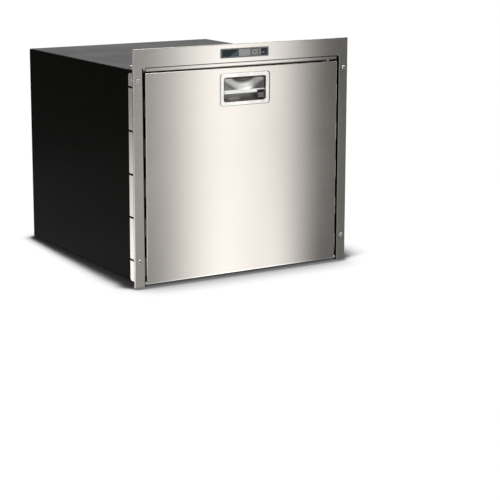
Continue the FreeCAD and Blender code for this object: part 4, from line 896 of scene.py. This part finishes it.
def makeFrameScrews():
    look = screwSettings
    low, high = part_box("frame_screws")
    radius = look["radius"]
    places = [(x, z) for x in (low[0] + radius, high[0] - radius)
              for z in (low[2] + radius, high[2] - radius)]
    x, z = places[0]
    rise = sum(step for inset, step in look["crown"])
    seat = low[1] + look["height"]
    rim = look["height"] - rise
    screw = addDisc("frameScrew1", (x, seat - rim / 2, z), look["sides"], radius, rim)
    for inset, step in look["crown"]:
        bpy.ops.mesh.inset(thickness=inset)
        bpy.ops.transform.translate(value=(0, -step, 0))
    pick(screw, "FACE", lambda place, normal: normal.y > facing)
    bpy.ops.mesh.inset(thickness=radius - look["shank"])
    extrudeBack(high[1] - seat - look["tipLength"])
    extrudeBack(look["tipLength"])
    bpy.ops.transform.resize(value=(look["tipShare"], 1, look["tipShare"]), center_override=(x, high[1], z))
    leaveEdit()
    for turn in (look["turn"], look["turn"] + 90.0):
        startClean()
        bpy.ops.mesh.primitive_cube_add(size=1, location=(x, low[1], z), rotation=(0, math.radians(turn), 0))
        cutter = bpy.context.object
        cutter.scale = (look["recessLength"], look["recessDepth"] * 2, look["recessWidth"])
        applyPlace()
        takeUp(screw)
        cut = screw.modifiers.new("recess", "BOOLEAN")
        cut.operation = "DIFFERENCE"
        cut.solver = "EXACT"
        cut.object = cutter
        bpy.ops.object.modifier_apply(modifier=cut.name)
        bpy.data.objects.remove(cutter)
    bpy.ops.object.shade_smooth_by_angle(angle=smoothAngle)
    screws = [screw]
    for number, (nextX, nextZ) in enumerate(places[1:], start=2):
        takeUp(screw)
        bpy.ops.object.duplicate()
        copy = bpy.context.object
        copy.name = "frameScrew" + str(number)
        pick(copy, "VERT", lambda place: True)
        bpy.ops.transform.translate(value=(nextX - x, 0, nextZ - z))
        bpy.ops.object.mode_set(mode="OBJECT")
        screws.append(copy)
    # near-white heads, only part metal: their brightness is partly a painted highlight
    headFinish = platedMetal("bright screw", look["light"], look["dark"], look["light"],
                             look["roughness"], look["pit"],
                             pocket=look["recessShade"], metallic=look["metallic"])
    for piece in screws:
        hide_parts("frame_screws")
        settle(piece, "cabinet", headFinish)


# printed marks on the keys and the bar on the status lens
markSettings = {
    "thick": 0.0003,
    "rim": 0.0003,
    "rimRise": 0.000075,
    "ink": (grey(0.010), grey(0.016), grey(0.03), 0.5, 2600.0, 0.05),
    "keys": {
        "setMark": {"node": "set_button", "body": "set_key", "corners": 28, "radius": 0.0021, "turn": 0.0},
        "upMark": {"node": "up_button", "body": "up_key", "corners": 3, "radius": 0.0026, "turn": 0.0},
        "downMark": {"node": "down_button", "body": "down_key", "corners": 3, "radius": 0.0026,
                     "turn": math.pi},
    },
    "bar": {"offset": (0.0052, -0.0022), "size": (0.0074, 0.0019), "corner": 0.0005, "cornerSteps": 3},
}


def makeMarks():
    look = markSettings
    markFinish = coatedSurface("mark ink", *look["ink"])
    for name, mark in look["keys"].items():
        low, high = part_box(mark["node"])
        middle = ((low[0] + high[0]) / 2, low[1], (low[2] + high[2]) / 2)
        piece = addDisc(name, middle, mark["corners"], mark["radius"], look["thick"], mark["turn"])
        bpy.ops.mesh.inset(thickness=look["rim"])
        bpy.ops.transform.translate(value=(0, -look["rimRise"], 0))
        leaveEdit()
        settle(piece, mark["body"], markFinish)
    bar = look["bar"]
    low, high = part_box("status_window")
    middle = (low[0] + bar["offset"][0], low[1], (low[2] + high[2]) / 2 + bar["offset"][1])
    piece = addPlate("statusBar", middle, bar["size"], math.pi / 2, bar["corner"], bar["cornerSteps"])
    extrudeBack(-look["thick"] / 2)
    leaveEdit()
    settle(piece, "cabinet", finishes["button_grey"])


makeGasket()
print("door seal modelled")
makeFrameScrews()
print("frame screws modelled")
makeMarks()
print("key marks and status bar modelled")


# floor, light and camera
stageSettings = {
    "floorSize": 24.0,
    "floorTone": grey(0.80),
    "floorShown": grey(0.03),
    "floorSamples": 16,
    "reachSpan": (-0.5, 0.5),
    "contactReach": ((-0.40, 0.004), (-0.335, 0.004), (-0.29, 0.080), (-0.21, 0.088), (0.10, 0.062),
                     (0.34, 0.034)),
    "rightReach": (0.28, 0.31, 1.0, 1.9),
    "contactStops": ((0.70, 0.03), (0.76, 0.10), (0.82, 0.55), (0.885, 0.78), (0.945, 0.93), (0.985, 1.0)),
    "softReach": (-0.3, 0.3, 0.06, 0.10),
    "softStops": ((0.40, 0.12), (0.50, 0.27), (0.57, 0.45), (0.64, 0.61), (0.77, 0.79), (0.88, 0.92),
                  (1.0, 1.0)),
    "frontReach": 0.12,
    "frontSpan": (-0.315, -0.29),
    "underSpan": (-0.2, -0.4),
    "underDoor": ((-0.275, 0.01), (-0.293, 0.035), (-0.306, 0.10), (-0.3185, 0.19)),
    "worldFill": 0.55,
}


# camera, mirror and glass rays see the plain backdrop tone
def seenDirectly(tree, x, y):
    path = putNode(tree, "ShaderNodeLightPath", x, y)
    either = mathNode(tree, "MAXIMUM", x + 200, y, path.outputs["Is Camera Ray"], path.outputs["Is Glossy Ray"])
    return mathNode(tree, "MAXIMUM", x + 400, y, either, path.outputs["Is Transmission Ray"])


def mixShaders(tree, x, y, factor, first, second):
    mix = putNode(tree, "ShaderNodeMixShader", x, y)
    for socket, value in zip(mix.inputs, (factor, first, second)):
        wire(tree, value, socket)
    return mix.outputs[0]


def setWorld():
    world = bpy.data.worlds.new("studio white")
    bpy.context.scene.world = world
    tree, surface = bareTree(world, "ShaderNodeOutputWorld", 600)
    fill = putNode(tree, "ShaderNodeBackground", 100, 100)
    setInputs(fill, Color=grey(1), Strength=stageSettings["worldFill"])
    white = putNode(tree, "ShaderNodeBackground", 100, -100)
    setInputs(white, Color=grey(1), Strength=1.0)
    seen = seenDirectly(tree, -500, 300)
    wire(tree, mixShaders(tree, 350, 0, seen, fill.outputs[0], white.outputs[0]), surface)


def toneCurve(tree, x, y, value, stops, interpolation="LINEAR"):
    ramp = putNode(tree, "ShaderNodeValToRGB", x, y)
    elements = ramp.color_ramp.elements
    ramp.color_ramp.interpolation = interpolation
    elements[0].position = stops[0][0]
    elements[1].position = stops[-1][0]
    for position, tone in stops[1:-1]:
        elements.new(position)
    for element, (position, tone) in zip(elements, stops):
        element.color = grey(tone)
    wire(tree, value, ramp.inputs[0])
    return ramp.outputs[0]


# a tone curve whose stops are places on the measure itself
def spanCurve(tree, x, y, value, span, stops, interpolation="LINEAR"):
    low, high = span
    shares = [((place - low) / (high - low), tone) for place, tone in stops]
    return toneCurve(tree, x + 150, y, remap(tree, x, y, value, low, high), shares, interpolation)


# light that reaches the floor within some distance, as a tone
def floorShade(tree, y, reach, stops):
    nearby = putNode(tree, "ShaderNodeAmbientOcclusion", -500, y, samples=stageSettings["floorSamples"])
    wire(tree, reach, nearby.inputs["Distance"])
    return toneCurve(tree, -250, y, nearby.outputs["AO"], stops)


def addFloor():
    look = stageSettings
    startClean()
    bpy.ops.mesh.primitive_plane_add(size=look["floorSize"], location=(0, 0, 0))
    floor = bpy.context.object
    floor.name = "floor"
    material = bpy.data.materials.new("floor white")
    tree, surface = bareTree(material, "ShaderNodeOutputMaterial", 900)
    x, y, _ = splitPlace(tree, -1300, 100).outputs
    # the shade by the object is short in front of it, longest beside the frame and short again at the back
    length = spanCurve(tree, -950, 100, y, look["reachSpan"], look["contactReach"])
    stretch = remap(tree, -750, -100, x, *look["rightReach"])
    close = floorShade(tree, 100, mathNode(tree, "MULTIPLY", -600, 0, length, stretch), look["contactStops"])
    # a broad soft shade reaches further in front
    beside = remap(tree, -900, 400, x, *look["softReach"])
    behind = remap(tree, -900, 600, y, *look["frontSpan"])
    extra = mathNode(tree, "SUBTRACT", -700, 450, beside, look["frontReach"])
    grown = mathNode(tree, "MULTIPLY", -600, 550, extra, behind)
    wide = floorShade(tree, 300, mathNode(tree, "ADD", -550, 450, grown, look["frontReach"]), look["softStops"])
    shade = mathNode(tree, "MULTIPLY", -150, 200, close, wide)
    # painted light under the door: the floor's least tone, set by place, rising towards the door's front
    spill = spanCurve(tree, -300, 550, y, look["underSpan"], look["underDoor"])
    paper = setInputs(putNode(tree, "ShaderNodeBsdfDiffuse", 250, 250), Color=look["floorTone"])
    shown = setInputs(putNode(tree, "ShaderNodeBsdfDiffuse", 250, 100), Color=look["floorShown"])
    # to camera, mirror and glass rays the floor glows at the painted shade tone, over a faint lit floor
    lift = putNode(tree, "ShaderNodeEmission", 250, -50)
    wire(tree, mathNode(tree, "MAXIMUM", 0, 250, shade, spill), lift.inputs["Strength"])
    both = putNode(tree, "ShaderNodeAddShader", 450, 0)
    wire(tree, shown.outputs[0], both.inputs[0])
    wire(tree, lift.outputs[0], both.inputs[1])
    seen = seenDirectly(tree, -600, -250)
    wire(tree, mixShaders(tree, 650, 100, seen, paper.outputs[0], both.outputs[0]), surface)
    floor.data.materials.append(material)


# soft cards that only mirrors see
cardSettings = {
    "mirrorPoint": (-1.877, 2.734),
    "slopeSpan": (0.25, 0.95),
    "slopeStops": ((0.34, 0.36), (0.43, 0.72), (0.525, 0.22), (0.597, 1.0), (0.636, 0.86), (0.693, 0.085),
                   (0.86, 0.175)),
    "groundStops": ((0.34, 0.40), (0.43, 0.74), (0.525, 0.255), (0.597, 0.98), (0.636, 0.86), (0.693, 0.115),
                    (0.86, 0.23)),
    "strength": 1.5,
    "frontY": -1.6,
    "frontX": (-1.7, 2.6),
    "frontTop": 3.0,
    "floorLift": 0.002,
    "floorStart": -0.3187,
    "sideX": (-3.4, -0.2705),
    "sideY": (-0.3187, 6.5),
    "sideSpan": (-0.4, 6.5),
    "sideStops": ((-0.3, 1.0), (0.0, 1.0), (0.55, 0.73), (1.13, 0.60), (1.7, 0.29), (3.6, 0.17), (6.0, 0.12)),
    "sideStrength": 1.45,
    "overX": (-2.0, 4.0),
    "overY": (-1.6, 1.2),
    "overStops": ((-1.5, 0.50), (1.0, 0.55), (1.30, 0.52), (1.62, 0.10), (3.5, 0.10)),
    "overStrength": 1.0,
    "leftX": -1.9,
    "leftY": (-1.6, 1.0),
    "leftTop": 2.4,
    "leftTone": 0.16,
    "backX": (-7.0, -0.6),
    "backY": 6.5,
    "backTop": 4.0,
    "backTone": 0.22,
}


# the front face mirrors the camera to one point; the slope from there is the place across the face
def slopeAcross(tree, split):
    mirrorX, mirrorY = cardSettings["mirrorPoint"]
    across = mathNode(tree, "SUBTRACT", -300, 100, split.outputs[0], mirrorX)
    away = mathNode(tree, "SUBTRACT", -300, -100, mirrorY, split.outputs[1])
    return mathNode(tree, "DIVIDE", -100, 0, across, away)


def addGlow(material):
    tree, surface = bareTree(material, "ShaderNodeOutputMaterial", 700)
    glow = putNode(tree, "ShaderNodeEmission", 450, 0)
    wire(tree, glow.outputs[0], surface)
    return tree, glow


def cardGlow(material, measure, span, stops, strength):
    tree, glow = addGlow(material)
    value = measure(tree, splitPlace(tree, -700, 0))
    wire(tree, spanCurve(tree, 0, 0, value, span, stops, "EASE"), glow.inputs["Color"])
    setInputs(glow, Strength=strength)


def plainGlow(material, tone):
    _, glow = addGlow(material)
    setInputs(glow, Color=grey(tone), Strength=1.0)


def addCard(name, corners):
    low, high = corners
    middle = [(a + b) / 2 for a, b in zip(low, high)]
    spans = [b - a for a, b in zip(low, high)]
    flat = spans.index(0)
    startClean()
    turn = ((0, math.pi / 2, 0), (math.pi / 2, 0, 0), (0, 0, 0))[flat]
    bpy.ops.mesh.primitive_plane_add(size=1, location=middle, rotation=turn)
    card = bpy.context.object
    card.name = name
    card.scale = ((spans[2], spans[1], 1), (spans[0], spans[2], 1), (spans[0], spans[1], 1))[flat]
    applyPlace()
    for ray in ("camera", "diffuse", "shadow", "transmission", "volume_scatter"):
        setattr(card, "visible_" + ray, False)
    material = bpy.data.materials.new(name + " glow")
    card.data.materials.append(material)
    return material


def addCards():
    look = cardSettings
    x = look["frontX"]
    lift = look["floorLift"]
    front = addCard("frontCard", ((x[0], look["frontY"], 0.0), (x[1], look["frontY"], look["frontTop"])))
    ground = addCard("groundCard", ((x[0], look["frontY"], lift), (x[1], look["floorStart"], lift)))
    for material, stops in ((front, "slopeStops"), (ground, "groundStops")):
        cardGlow(material, slopeAcross, look["slopeSpan"], look[stops], look["strength"])
    side = addCard("sideGroundCard", [(x, y, lift) for x, y in zip(look["sideX"], look["sideY"])])
    cardGlow(side, lambda tree, split: split.outputs[1],
             look["sideSpan"], look["sideStops"], look["sideStrength"])
    over = addCard("overheadCard", [(x, y, look["frontTop"]) for x, y in zip(look["overX"], look["overY"])])
    cardGlow(over, lambda tree, split: split.outputs[0],
             look["overX"], look["overStops"], look["overStrength"])
    x, y = look["leftX"], look["leftY"]
    plainGlow(addCard("leftCard", ((x, y[0], 0.0), (x, y[1], look["leftTop"]))), look["leftTone"])
    x, y = look["backX"], look["backY"]
    plainGlow(addCard("leftBackCard", ((x[0], y, 0.0), (x[1], y, look["backTop"]))), look["backTone"])


lampSettings = {
    "place": (0.5, -0.5, 2.6),
    "aim": (0.0, 0.0, 0.2),
    "size": (1.6, 1.6),
    "power": 60.0,
}


def addLamp():
    look = lampSettings
    bpy.ops.object.light_add(type="AREA", location=look["place"])
    lamp = bpy.context.object
    lamp.name = "overheadLamp"
    lamp.data.shape = "RECTANGLE"
    lamp.data.size, lamp.data.size_y = look["size"]
    lamp.data.energy = look["power"]
    lamp.visible_camera = False
    direction = Vector(look["aim"]) - Vector(look["place"])
    lamp.rotation_euler = direction.to_track_quat("-Z", "Y").to_euler()


cameraSettings = {
    "target": (-0.0668, -0.3185, 0.1979),
    "turn": math.radians(-30.66),
    "rise": math.radians(11.23),
    "distance": 3.618,
    "lens": 109.8,
    "sensor": 36.0,
    "shift": (0.0594, -0.1072),
}


def addCamera():
    look = cameraSettings
    turn, rise = look["turn"], look["rise"]
    away = (math.sin(turn) * math.cos(rise), -math.cos(turn) * math.cos(rise), math.sin(rise))
    place = [t + look["distance"] * a for t, a in zip(look["target"], away)]
    bpy.ops.object.camera_add(location=place)
    camera = bpy.context.object
    camera.rotation_euler = (math.pi / 2 - rise, 0, turn)
    camera.data.lens = look["lens"]
    camera.data.sensor_width = look["sensor"]
    camera.data.shift_x, camera.data.shift_y = look["shift"]
    camera.data.dof.use_dof = False
    bpy.context.scene.camera = camera


setWorld()
addFloor()
addCards()
addLamp()
addCamera()
bpy.context.scene.view_settings.view_transform = "Standard"
print("stage ready")
